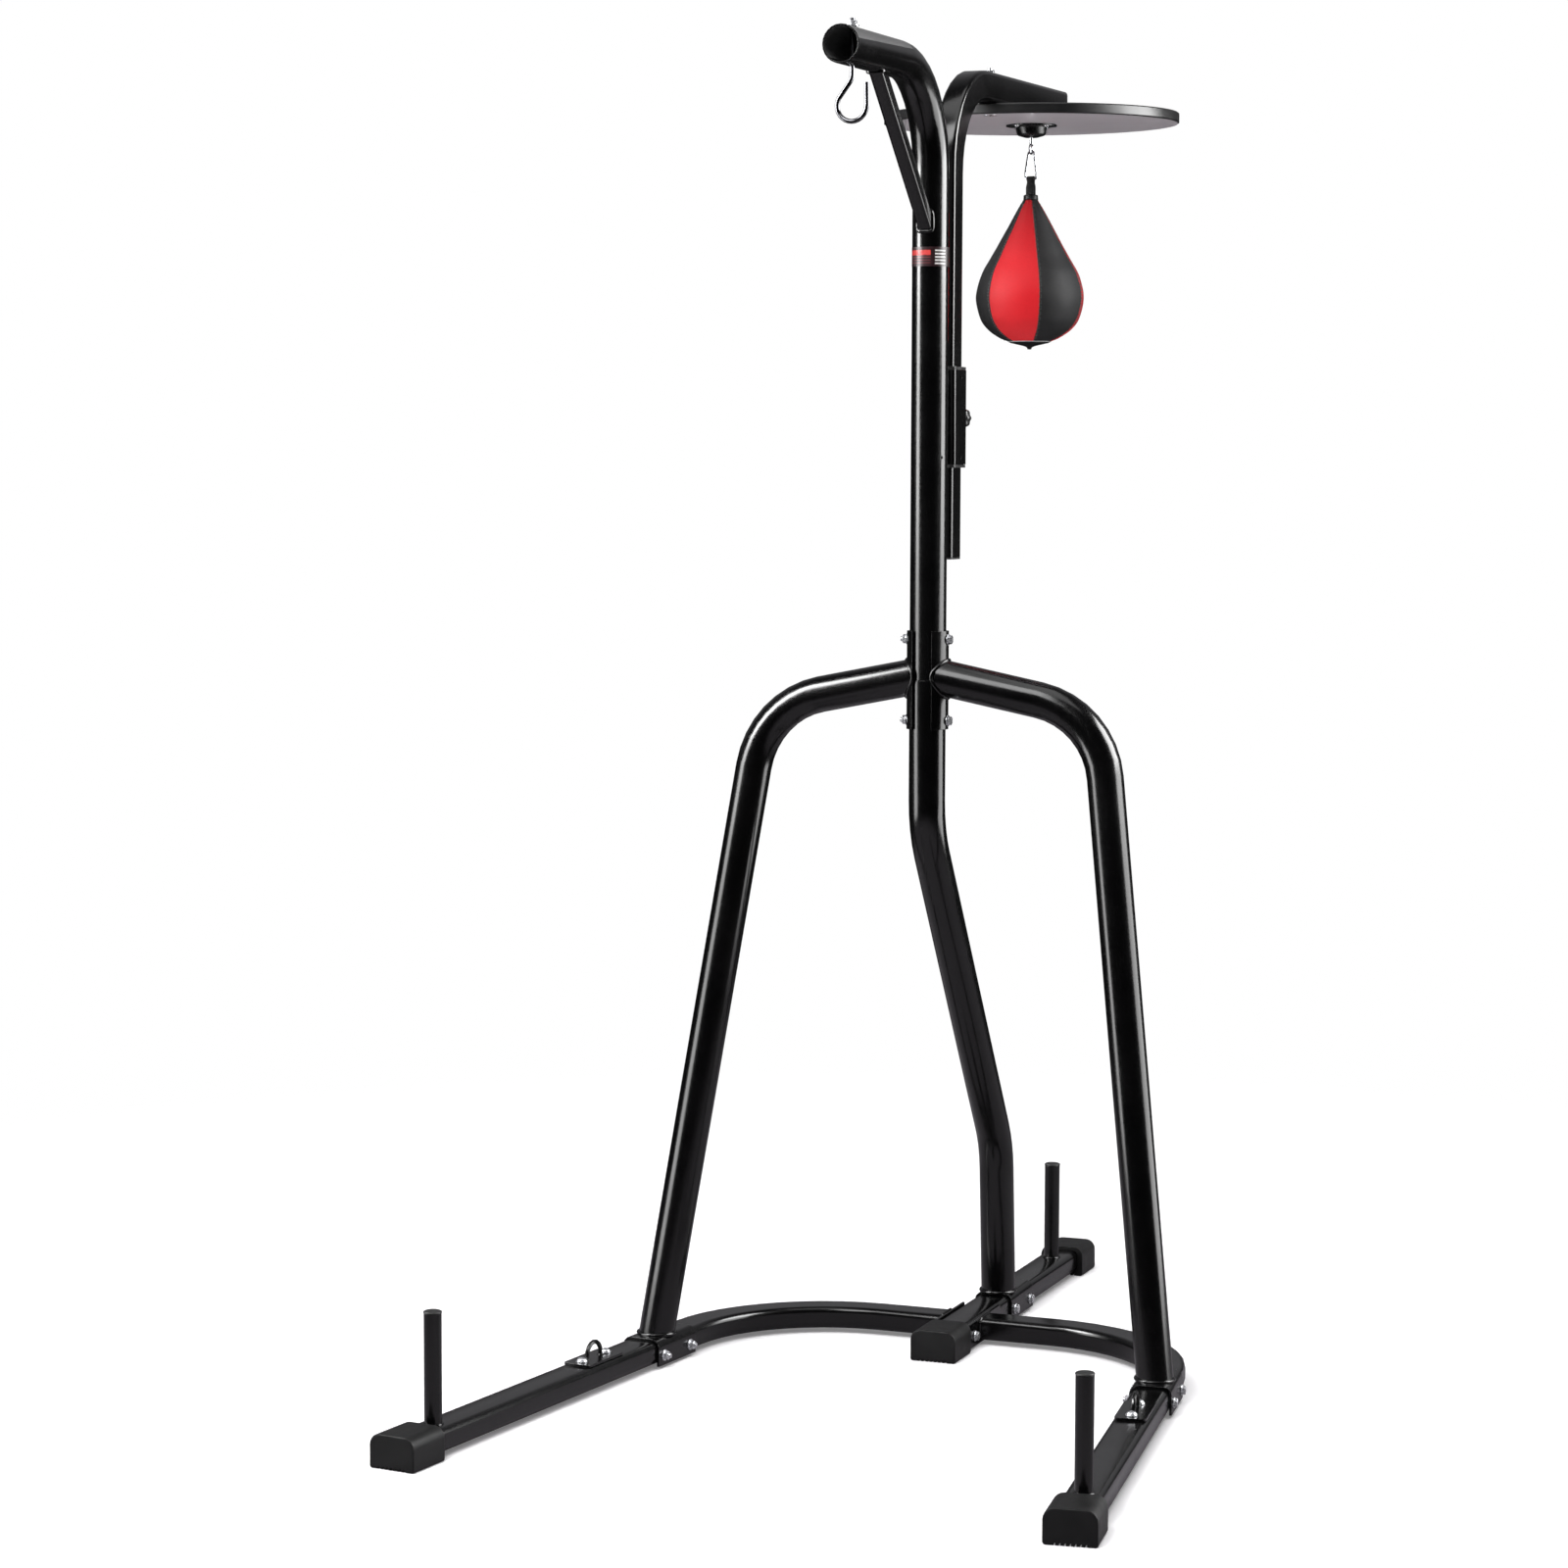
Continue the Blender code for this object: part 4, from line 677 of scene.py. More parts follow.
def drum(radius, x=None, y=None, z=None):
    """Surface: the near side of a cylinder about an axis; the two given coordinates fix it."""
    def slide(p, d):
        if z is None:
            q, e = (p.x - x, p.y - y), (d.x, d.y)
        else:
            q, e = (p.x - x, p.z - z), (d.x, d.z)
        a = e[0] ** 2 + e[1] ** 2
        b = q[0] * e[0] + q[1] * e[1]
        c = q[0] ** 2 + q[1] ** 2 - radius ** 2
        root = math.sqrt(max(b * b - a * c, 0.0))
        return (-b - root) / a
    return slide


def rounded_rectangle(half_a, half_b, corner, steps=4):
    points = []
    for ca, cb, start in ((1, 1, 0), (-1, 1, 90), (-1, -1, 180), (1, -1, 270)):
        for k in range(steps + 1):
            a = math.radians(start + 90 * k / steps)
            points.append((ca * (half_a - corner) + corner * math.cos(a),
                           cb * (half_b - corner) + corner * math.sin(a)))
    return points


def build_leg_welds():
    for side, word in SIDES:
        start, corner, foot = [Vector((side * p.x, p.y + POLE_Y, p.z)) for p in LEG_PATH]
        bm = bmesh.new()
        low = ring_on(level(PLATE_TOP + WELD_LIFT), foot, corner - foot, TUBE_R + WELD_LIFT)
        add_weld(bm, low, 0.0032, seed=side)
        inward = start - corner
        high = ring_on(drum(COLLAR_R + WELD_LIFT, x=0, y=POLE_Y), corner, inward, TUBE_R + WELD_LIFT)
        add_weld(bm, high, 0.0030, seed=side + 3)
        weld_piece(word + "_leg_welds", bm)


def build_rear_weld():
    bm = bmesh.new()
    upper, foot = [Vector((0, p.y + POLE_Y, p.z)) for p in REAR_PATH]
    ring = ring_on(level(PLATE_TOP + WELD_LIFT), foot, upper - foot, TUBE_R + WELD_LIFT)
    add_weld(bm, ring, 0.0032, seed=5)
    weld_piece("rear_post_weld", bm)


def build_brace_welds():
    bm = bmesh.new()
    top, bottom = [Vector((0, p.y + POLE_Y, p.z)) for p in BRACE_ENDS]
    down = (bottom - top).normalized()
    across = Vector((1, 0, 0))
    lift = across.cross(down)
    outline = rounded_rectangle(BRACE_HALF + 0.0004, BRACE_HALF + 0.0004, 0.006)
    middle = (top + bottom) / 2
    pole = drum(TUBE_R + 0.0005, x=0, y=POLE_Y)
    arm = drum(TUBE_R + 0.0005, x=0, z=ARM_Z - 0.0018)
    for surface, direction in ((pole, down), (arm, -down)):
        points = []
        for a, b in outline:
            p = middle + across * a + lift * b
            points.append(p + direction * surface(p, direction))
        add_weld(bm, points, 0.0036, seed=direction.z)
    weld_piece("brace_welds", bm)


def build_small_welds():
    """Plate posts, anchor loops, rear arcs and the guide sleeve."""
    for name in ("left_plate_post", "right_plate_post", "rear_plate_post"):
        low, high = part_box(name)
        centre = Vector(((low.x + high.x) / 2, (low.y + high.y) / 2, RAIL_TOP))
        bm = bmesh.new()
        radius = (high.x - low.x) / 2 + 0.0003
        ring = ring_on(level(RAIL_TOP + WELD_LIFT), centre, Vector((0, 0, 1)), radius, 28)
        add_weld(bm, ring, 0.0022, seed=centre.x)
        weld_piece(name + "_weld", bm)
    for side, word in SIDES:
        bm = bmesh.new()
        place = foot_frame(side)
        for k in (-1, 1):
            centre = place @ Vector((0, ANCHOR_Y + k * ANCHOR_HALF, 0))
            add_weld(bm, ring_on(level(PLATE_TOP + 0.0004), centre, Vector((0, 0, 1)), 0.0042, 16), 0.0014,
                     seed=k)
        weld_piece(word + "_anchor_welds", bm)
        low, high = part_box(word + "_rear_arc")
        face = low.x if side > 0 else high.x
        mid_y, mid_z = ARC_JOINT_Y + POLE_Y, (0.008 + 0.046) / 2
        outline = rounded_rectangle(*RAIL_HALVES, RAIL_CORNER)
        turn = outline[17:] + outline[:13]
        bm = bmesh.new()
        points = [Vector((face + side * 0.0010, mid_y + a, mid_z + b)) for a, b in turn]
        add_weld(bm, points, 0.0022, False, seed=side)
        weld_piece(word + "_arc_weld", bm)
    bm = bmesh.new()
    reach = math.sqrt(TUBE_R ** 2 - WEB_HALF ** 2) + 0.0004
    for side in (-1, 1):
        line = [Vector((side * 0.0136, POLE_Y + reach, 1.5180 + 0.0120 * i)) for i in range(11)]
        add_weld(bm, line, 0.0020, False, seed=side * 7)
    nut_face = SLEEVE[1].y - 0.011
    nut_z = (KNOB[0].z + KNOB[1].z) / 2
    turns = [math.radians(60 * i) for i in range(6)]
    hexagon = [Vector((NUT_CORNER * math.cos(a), nut_face + 0.0002, nut_z + NUT_CORNER * math.sin(a)))
               for a in turns]
    add_weld(bm, hexagon, 0.0012, seed=9)
    weld_piece("sleeve_welds", bm)


# --- hardware -------------------------------------------------------------------------------------
def build_thread(name, axis_point, direction, length, radius, pitch, body, material=ZINC):
    """A helical thread ridge round a plain shank."""
    direction = direction.normalized()
    side = direction.orthogonal().normalized()
    lift = direction.cross(side)
    per_turn = 14
    count = int(length / pitch * per_turn)
    points, radii = [], []
    for i in range(count + 1):
        a = 2 * math.pi * i / per_turn
        points.append(axis_point + direction * (length * i / count)
                      + (side * math.cos(a) + lift * math.sin(a)) * radius)
        radii.append(pitch * 0.34 * min(1.0, 0.2 + min(i, count - i) / 6))
    bm = bmesh.new()
    add_tube(bm, points, radii, 5)
    return piece(name, bm, material, body, 60)


SCREW_CIRCLE = 0.0365                              # how far the swivel screws stand from the stem


def build_swivel_screws():
    """Four pan-head screws with cross recesses that hold the housing's flange to the board."""
    for i in range(4):
        a = math.radians(45 + 90 * i + 18)
        place = Vector((SCREW_CIRCLE * math.cos(a), SCREW_CIRCLE * math.sin(a),
                        HOUSING_TOP - 0.0030 - BALL_Z))
        rise = Matrix.Translation((0, BOARD_Y, BALL_Z)) @ Matrix.Rotation(ARM_RISE, 4, "X")
        over = Matrix.Rotation(math.pi, 4, "X") @ Matrix.Rotation(i * 0.7, 4, "Z")
        turn = rise @ Matrix.Translation(place) @ over
        bm = bmesh.new()
        add_lathe(bm, [(0, 0.0021), (0.0012, 0.0020), (0.0026, 0.0016), (0.0036, 0.0008), (0.0038, 0.0),
                       (0.0038, -0.0004), (0, -0.0004)], 24)
        bm_cut = bmesh.new()
        for turn_z in (0, math.pi / 2):
            cube = bmesh.ops.create_cube(bm_cut, size=1.0)["verts"]
            shape = Matrix.Rotation(turn_z, 4, "Z") @ Matrix.Diagonal((0.0040, 0.0009, 0.0018, 1))
            bmesh.ops.transform(bm_cut, matrix=Matrix.Translation((0, 0, 0.0021)) @ shape, verts=cube)
        head = add_object("head", mesh_from("head", bm))
        cutter = add_object("cross", mesh_from("cross", bm_cut))
        cut = head.modifiers.new("cut", "BOOLEAN")
        cut.object, cut.operation, cut.use_self = cutter, "DIFFERENCE", True
        bpy.context.view_layer.update()
        done = bmesh.new()
        done.from_mesh(head.evaluated_get(bpy.context.evaluated_depsgraph_get()).data)
        for obj in (head, cutter):
            bpy.data.objects.remove(obj, do_unlink=True)
        bmesh.ops.transform(done, matrix=turn, verts=done.verts)
        piece(f"swivel_screw_{i + 1}", done, ZINC, "platform", 35)


def build_knob():
    """Fluted hand knob over the clamp screw, inside the CAD knob's own space."""
    low, high = KNOB
    r = (high.x - low.x) / 2
    back = high.y
    z = (low.z + high.z) / 2
    stem = back - 0.0395

    def flutes(angle, radius, height):
        if radius < r * 0.7 or height < 0.0125:
            return radius
        return radius * (0.955 + 0.045 * math.cos(10 * angle))

    outline = [(0, 0.0395), (r * 0.30, 0.0393), (r * 0.55, 0.0380), (r * 0.62, 0.0375),
               (r * 0.66, 0.0379), (r * 0.80, 0.0362), (r * 0.92, 0.0335), (r * 0.99, 0.0290),
               (r * 1.0, 0.0260), (r * 1.0, 0.0175), (r * 0.97, 0.0150), (r * 0.88, 0.0130),
               (r * 0.70, 0.0112), (0.0090, 0.0100), (0.0085, 0.0085),
               (0.0085, 0.0010), (0.0078, 0.0002), (0, 0.0002)]
    turn = Matrix.Translation((0, stem, z)) @ Matrix.Rotation(math.radians(-90), 4, "X")
    bm = bmesh.new()
    add_lathe(bm, outline, 80, turn, flutes)
    grip = piece("clamp_knob_grip", bm, KNOB_PLASTIC, "lock_knob", 50)
    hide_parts("lock_knob")
    bm = bmesh.new()
    tip = low.y
    length = stem + 0.0005 - tip
    along = Matrix.Translation((0, tip, z)) @ Matrix.Rotation(math.radians(-90), 4, "X")
    add_lathe(bm, [(0, length), (0.0046, length), (0.0046, 0.0012), (0.0036, 0.0), (0, 0.0)], 24, along)
    piece("clamp_screw", bm, ZINC, "lock_knob", 35)
    build_thread("clamp_screw_thread", Vector((0, tip + 0.0014, z)), Vector((0, 1, 0)), stem - tip - 0.003,
                 0.0045, 0.0013, "lock_knob")


def build_hook_threads():
    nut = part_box("hook_nut")
    top = HANG[1].z - 0.0006
    build_thread("hook_shank_thread", Vector((0, HANG_Y, nut[1].z + 0.0003)), Vector((0, 0, 1)),
                 top - nut[1].z, 0.0037, 0.00125, "hang_hook", DARK_STEEL)


LABEL_Z = (1.8215, 1.8530)
LABEL_START_DEG, LABEL_TURN_DEG = -74, 186         # round the pole, from its front towards +X


def build_label():
    """Thin printed film wrapped round the front of the pole."""
    z0, z1 = LABEL_Z
    bm = bmesh.new()
    steps, rows = 60, 6
    rings = []
    for r in (TUBE_R + 0.00025, TUBE_R + 0.00005):
        grid = []
        for j in range(rows + 1):
            row = []
            for i in range(steps + 1):
                a = math.radians(LABEL_START_DEG + LABEL_TURN_DEG * i / steps)
                z = z0 + (z1 - z0) * j / rows
                row.append(bm.verts.new((r * math.sin(a), POLE_Y - r * math.cos(a), z)))
            grid.append(row)
        rings.append(grid)
    outer, inner = rings
    for j in range(rows):
        for i in range(steps):
            bm.faces.new((outer[j][i], outer[j][i + 1], outer[j + 1][i + 1], outer[j + 1][i]))
            bm.faces.new((inner[j][i], inner[j + 1][i], inner[j + 1][i + 1], inner[j][i + 1]))
    for i in range(steps):
        bm.faces.new((outer[0][i], inner[0][i], inner[0][i + 1], outer[0][i + 1]))
        bm.faces.new((outer[rows][i], outer[rows][i + 1], inner[rows][i + 1], inner[rows][i]))
    for j in range(rows):
        bm.faces.new((outer[j][0], outer[j + 1][0], inner[j + 1][0], inner[j][0]))
        bm.faces.new((outer[j][steps], inner[j][steps], inner[j + 1][steps], outer[j + 1][steps]))
    piece("pole_label", bm, label_film(z0, z1), "stand", 50)


# --- bag ------------------------------------------------------------------------------------------
STITCH_STEPS = (-1, -0.5, 0, 0.5, 1)               # places along one stitch, from end to end


def bag_columns():
    """Each column's angle round the bag, its panel and how far across that panel it lies, 0 to 1."""
    half = list(SEAM_FRACTIONS)
    across = half + [1.0 - f for f in reversed(half[:-1])]
    columns = []
    for panel in range(PANELS):
        for f in across[:-1]:
            columns.append((SEAM_TURN + 2 * math.pi * (panel + f) / PANELS, panel, f))
    return columns


def bag_point(radius, angle, z):
    return Vector((radius * math.sin(angle), BOARD_Y - radius * math.cos(angle), z))


def seam_gap(radius, share):
    """Distance along the skin to the nearest seam."""
    return radius * (2 * math.pi / PANELS) * min(share, 1 - share)


def blow_up(obj, pinned):
    """Cloth simulation: the panels are blown up between their seams. Returns the moved points."""
    group = obj.vertex_groups.new(name="seams")
    for index, weight in pinned:
        group.add([index], weight, "REPLACE")
    cloth = obj.modifiers.new("cloth", "CLOTH")
    s = cloth.settings
    s.quality = 6
    s.mass = 0.25
    s.tension_stiffness = s.compression_stiffness = 22
    s.shear_stiffness = 14
    s.bending_stiffness = 1.2
    s.use_pressure = True
    s.uniform_pressure_force = 5.0
    s.effector_weights.gravity = 0.0
    s.vertex_group_mass = "seams"
    cloth.collision_settings.use_collision = False
    scene = bpy.context.scene
    for f in range(1, SIM_FRAMES + 1):
        scene.frame_set(f)
    depsgraph = bpy.context.evaluated_depsgraph_get()
    moved = [v.co.copy() for v in obj.evaluated_get(depsgraph).data.vertices]
    obj.modifiers.remove(cloth)
    obj.vertex_groups.clear()
    scene.frame_set(1)
    return moved


def build_bag():
    """Six-panel pear, blown up and then drawn in at the seams. Returns its outline."""
    outline = [(p.x, p.y) for p in curve_through([(z, r, 0) for z, r in BAG_OUTLINE], BAG_ROWS)]
    columns = bag_columns()
    count = len(columns)
    bm = bmesh.new()
    rows = []
    for z, r in outline:
        cut = r - BAG_SLACK * min(1.0, r / 0.04)
        rows.append([bm.verts.new(bag_point(cut, a, z)) for a, panel, f in columns])
    for j in range(BAG_ROWS - 1):
        for i in range(count):
            n = (i + 1) % count
            face = bm.faces.new((rows[j][i], rows[j + 1][i], rows[j + 1][n], rows[j][n]))
            # Painted shade: the faces along each seam groove, the red side too, get the black leather as a
            # dark line where the groove is.
            share = (columns[i][2] + (columns[n][2] or 1.0)) / 2
            seam = min(share, 1 - share) < SEAM_FRACTIONS[1]
            face.material_index = 1 if seam or columns[i][1] % 2 == 0 else 0
    bm.verts.index_update()
    mesh = mesh_from("bag_shell", bm)
    obj = add_object("bag_shell", mesh)
    rest = [v.co.copy() for v in mesh.vertices]
    pinned = []
    for j in range(BAG_ROWS):
        for i, (a, panel, f) in enumerate(columns):
            near = min(f, 1 - f)
            end = j < 2 or j > BAG_ROWS - 3
            weight = 1.0 if end or near < SEAM_FRACTIONS[1] + 1e-6 else 0.0
            if weight:
                pinned.append((j * count + i, weight))
    moved = blow_up(obj, pinned)
    axis = Vector((0, BOARD_Y, 0))
    for index, vertex in enumerate(mesh.vertices):
        j, i = divmod(index, count)
        angle, panel, f = columns[i]
        step = moved[index] - rest[index]
        if step.length > SIM_LIMIT:
            step *= SIM_LIMIT / step.length
        co = rest[index] + step
        z, r = outline[j]
        gap = seam_gap(r, f)
        sink = (SEAM_DEPTH * math.exp(-(gap / SEAM_WIDTH) ** 2)
                - LIP_HEIGHT * math.exp(-((gap - LIP_GAP) / LIP_WIDTH) ** 2))
        crown = math.exp(-(outline[0][0] - z) / CROWN_REACH)
        fold = noise.noise(Vector((angle * 3, z * 60, 2)))
        pleat = 0.0010 * crown * math.cos(angle * 18) + 0.0010 * crown * fold
        shift = noise.noise(Vector((math.sin(angle), math.cos(angle), 4)) * 2)
        pleat += 0.0014 * crown * math.sin(z * 900 + 5 * shift)
        dent = 0.0007 * noise.noise(co * 22) + 0.0004 * noise.noise(co * 55)
        out = (co - axis - Vector((0, 0, co.z))).normalized()
        vertex.co = co + out * (pleat + dent - sink * min(1.0, r / 0.03))
    mesh.materials.append(RED_LEATHER)
    mesh.materials.append(BLACK_LEATHER)
    close_bag(obj, count)
    mesh.shade_smooth()
    fine = obj.modifiers.new("fine", "SUBSURF")
    fine.levels = fine.render_levels = 1
    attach(obj, "bag")
    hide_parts("speed_bag")
    return outline


def close_bag(obj, count):
    """Turns the open rims inward, inside the crown band and the base patch."""
    bm = bmesh.new()
    bm.from_mesh(obj.data)
    bm.verts.ensure_lookup_table()
    total = len(bm.verts)
    rims = ((bm.verts[:count], 0.004), (bm.verts[total - count:], -0.0015))
    for edge, shift in rims:
        centre = bm.verts.new(Vector((0, BOARD_Y, edge[0].co.z + shift)))
        for k in range(count):
            n = (k + 1) % count
            order = (edge[k], edge[n], centre) if shift > 0 else (edge[n], edge[k], centre)
            face = bm.faces.new(order)
            face.material_index = 1
    bmesh.ops.recalc_face_normals(bm, faces=bm.faces)
    bm.to_mesh(obj.data)
    bm.free()


def add_stitch(bm, points, end, shoulder, middle):
    """One stitch through five points, thickest in the middle."""
    add_tube(bm, points, [end, shoulder, middle, shoulder, end], 6)


def stitch_piece(name, bm):
    piece(name, bm, BLACK_THREAD, "bag", 60)


def build_bag_stitches(outline):
    """Lock stitches that cross each seam, from the crown to the base patch."""
    bm = bmesh.new()
    path = curve_through([(z, r, 0) for z, r in outline[3:-3]], 400)
    for panel in range(PANELS):
        angle = SEAM_TURN + 2 * math.pi * panel / PANELS
        travelled, last, k = STITCH_PITCH, path[0], 0
        for p in path[1:]:
            travelled += (p - last).length
            last = p
            if travelled < STITCH_PITCH:
                continue
            travelled -= STITCH_PITCH
            z, r = p.x, p.y
            half = 0.0026
            tilt = 0.0012 if k % 2 else -0.0012
            k += 1
            skin = r - 0.0006
            points = []
            for t in (-1.0, -0.55, 0.0, 0.55, 1.0):
                lift = 0.00042 * (1 - t * t) - 0.0004 * abs(t) ** 3
                spin = angle + half * t / r
                points.append(bag_point(skin + lift, spin, z + tilt * t))
            add_stitch(bm, points, 0.00028, 0.00054, 0.00060)
    stitch_piece("bag_stitches", bm)


def build_crown():
    """Folded leather band round the bag's neck, with its own row of stitches."""
    z0, z1, r = 1.9635, 1.9730, 0.0127
    bm = bmesh.new()

    def pleats(angle, radius, height):
        return radius * (1 + 0.012 * math.sin(9 * angle + height * 300) + 0.008 * math.sin(23 * angle))

    outline = [(0, z1 + 0.0004), (0.0085, z1 + 0.0004), (0.0112, z1), (r - 0.0003, z1 - 0.0010),
               (r, z1 - 0.0022), (r - 0.0002, z1 - 0.0042), (r + 0.0002, z0 + 0.0030),
               (r + 0.0003, z0 + 0.0012), (r - 0.0004, z0), (r - 0.0020, z0 - 0.0006), (0, z0 - 0.0006)]
    add_lathe(bm, outline, 72, Matrix.Translation((0, BOARD_Y, 0)), pleats)
    piece("bag_crown", bm, STRAP_LEATHER, "bag", 60, 1)
    bm = bmesh.new()
    for i in range(26):
        a = 2 * math.pi * i / 26
        points = [bag_point(r + 0.00005 + 0.00030 * (1 - t * t), a + 0.085 * t, z0 + 0.0026)
                  for t in STITCH_STEPS]
        add_stitch(bm, points, 0.00016, 0.00032, 0.00034)
    stitch_piece("crown_stitches", bm)


def build_strap():
    """Leather strap folded over the snap hook's bottom bar, both ends sewn into the crown."""
    thick, wide_loop, wide_neck = 0.0017, 0.0136, 0.0172
    loop = HOOK_WIRE + 0.0005 + thick / 2
    low, waist = 1.9715, HOOK_LOW_Z - 0.0095
    points = [(0.0012, low), (0.0011, 1.9800), (0.0011, waist - 0.0010), (0.0016, waist + 0.0030)]
    for i in range(9):
        a = math.radians(-20 + 220 * i / 8)
        points.append((loop * math.cos(a), HOOK_LOW_Z + loop * math.sin(a)))
    points += [(-y, z) for y, z in reversed(points[:4])]
    path = curve_through([(0, BOARD_Y + y, z) for y, z in points], 96)
    bm = bmesh.new()
    outline = rounded_rectangle(1.0, thick / 2 / (wide_loop / 2), 0.10, 3)
    widths = []
    for p in path:
        t = min(max((p.z - (waist - 0.006)) / 0.010, 0.0), 1.0)
        t = t * t * (3 - 2 * t)
        widths.append((wide_neck + (wide_loop - wide_neck) * t) / 2)
    rings = []
    for point, half, (ahead, side, lift) in zip(path, widths, frames_along(path, False)):
        normal = ahead.cross(Vector((1, 0, 0))).normalized()
        ring = []
        for a, b in outline:
            sag = 0.0004 * noise.noise(Vector((a * 2, point.z * 90, normal.y * 3)))
            out = normal * (b * wide_loop / 2 + sag)
            ring.append(bm.verts.new(point + Vector((1, 0, 0)) * a * half + out))
        rings.append(ring)
    for first, second in zip(rings, rings[1:]):
        for k in range(len(outline)):
            n = (k + 1) % len(outline)
            bm.faces.new((first[k], second[k], second[n], first[n]))
    for ring in (rings[0], rings[-1]):
        bm.faces.new(ring)
    strap = piece("bag_strap_loop", bm, STRAP_LEATHER, "bag", 50)
    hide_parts("bag_strap")
    bm = bmesh.new()
    for x in (-0.0058, 0.0058):
        for face in (-1, 1):
            y = BOARD_Y + face * (0.0011 + thick / 2 + 0.0001)
            z = 1.9745
            while z < waist - 0.006:
                points = [Vector((x, y + face * 0.00022 * (1 - t * t), z + 0.0011 * t))
                          for t in STITCH_STEPS]
                add_stitch(bm, points, 0.00014, 0.00028, 0.00030)
                z += 0.0029
    stitch_piece("strap_stitches", bm)


def build_base():
    """Stitched base patch with a piped edge, gathered down to the valve's knot."""
    z, r = 1.7172, 0.0372
    bm = bmesh.new()

    def gathers(angle, radius, height):
        fade = min(1.0, (z - height) / 0.004) * (radius < r * 0.97)
        return radius * (1 + 0.018 * math.sin(12 * angle) * fade)

    outline = [(0, z + 0.0016), (r - 0.0030, z + 0.0012), (r - 0.0004, z + 0.0006), (r, z - 0.0002),
               (r - 0.0012, z - 0.0012), (r * 0.86, z - 0.0026), (r * 0.66, z - 0.0044),
               (r * 0.46, z - 0.0060), (r * 0.28, z - 0.0076), (r * 0.17, z - 0.0090),
               (0.0042, z - 0.0104), (0.0036, z - 0.0118),
               (0.0042, z - 0.0126), (0.0030, z - 0.0135), (0, z - 0.0138)]
    add_lathe(bm, outline, 96, Matrix.Translation((0, BOARD_Y, 0)), gathers)
    base = piece("bag_base_patch", bm, STRAP_LEATHER, "bag", 70, 1)
    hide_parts("bag_base")
    bm = bmesh.new()
    ring = [bag_point(r + 0.0002, 2 * math.pi * i / 120, z + 0.0002) for i in range(120)]
    add_tube(bm, ring, 0.00095, 8, True)
    piece("bag_base_piping", bm, GREY_THREAD, "bag", 60)
    bm = bmesh.new()
    for i in range(44):
        a = 2 * math.pi * i / 44
        points = [bag_point(r - 0.0044 - 0.0004 * t * t, a + 0.028 * t, z - 0.00235 - 0.00030 * (1 - t * t))
                  for t in STITCH_STEPS]
        add_stitch(bm, points, 0.00014, 0.00030, 0.00034)
    stitch_piece("base_stitches", bm)


# --- studio ---------------------------------------------------------------------------------------
CAMERA_PLACE = Vector((2.01425, -5.8437 + POLE_Y, 1.50897))
YAW, PITCH, ROLL = 0.36997, -0.08584, 0.00354
LENS_MM, SENSOR_MM = 86.5556, 36.0
FLOOR_RADIUS = 4.2
FADE_START, FADE_END = 1.1, 3.2                    # where the floor starts and ends fading into white
# name, azimuth, distance, height, size, radiance, height aimed at, rays that see it
LIGHTS = (
    ("left_strip_high", -76, 2.6, 2.75, (1.0, 1.9), 30.0, 1.9, "gloss"),
    ("left_strip_mid", -77, 2.6, 1.55, (1.0, 0.5), 13.0, 1.55, "gloss"),
    ("left_strip_low", -78, 2.6, 0.70, (1.1, 1.2), 7.0, 0.8, "gloss"),
    ("right_strip_high", 93, 2.9, 2.75, (2.0, 1.9), 17.0, 1.9, "gloss"),
    ("right_strip_mid", 93, 2.9, 1.55, (2.0, 0.5), 9.0, 1.55, "gloss"),
    ("right_strip_low", 93, 2.9, 0.70, (2.0, 1.2), 5.5, 0.8, "gloss"),
    ("top_panel", 10, 0.6, 4.2, (2.2, 2.2), 1.8, 0.0, "gloss"),
    ("key_glow", -32, 3.4, 4.7, (2.4, 2.4), 8.0, 1.9, "gloss"),
    ("key", -32, 3.4, 4.7, (2.0, 2.0), 16.0, 1.9, "diffuse"),
    ("ceiling", 0, 0.5, 5.2, (8.0, 8.0), 2.0, 0.0, "diffuse"),
    ("front_fill", -18, 5.5, 2.6, (3.0, 3.0), 3.5, 1.0, "diffuse"),
    ("back_fill", 165, 5.5, 2.6, (3.0, 3.0), 3.5, 1.0, "diffuse"),
    ("low_fill", -5, 4.0, 0.5, (3.6, 0.8), 2.5, 2.1, "diffuse"),
)


def build_camera():
    data = bpy.data.cameras.new("camera")
    data.lens = LENS_MM
    data.sensor_width = SENSOR_MM
    data.clip_end = 100.0
    level_ahead = Vector((-math.sin(YAW), math.cos(YAW), 0))
    right = Vector((math.cos(YAW), math.sin(YAW), 0))
    ahead = level_ahead * math.cos(PITCH) + Vector((0, 0, math.sin(PITCH)))
    lift = -level_ahead * math.sin(PITCH) + Vector((0, 0, math.cos(PITCH)))
    side = right * math.cos(ROLL) + lift * math.sin(ROLL)
    top = -right * math.sin(ROLL) + lift * math.cos(ROLL)
    turn = Matrix((side, top, -ahead)).transposed()
    obj = add_object("camera", data)
    obj.matrix_world = Matrix.Translation(CAMERA_PLACE) @ turn.to_4x4()
    bpy.context.scene.camera = obj


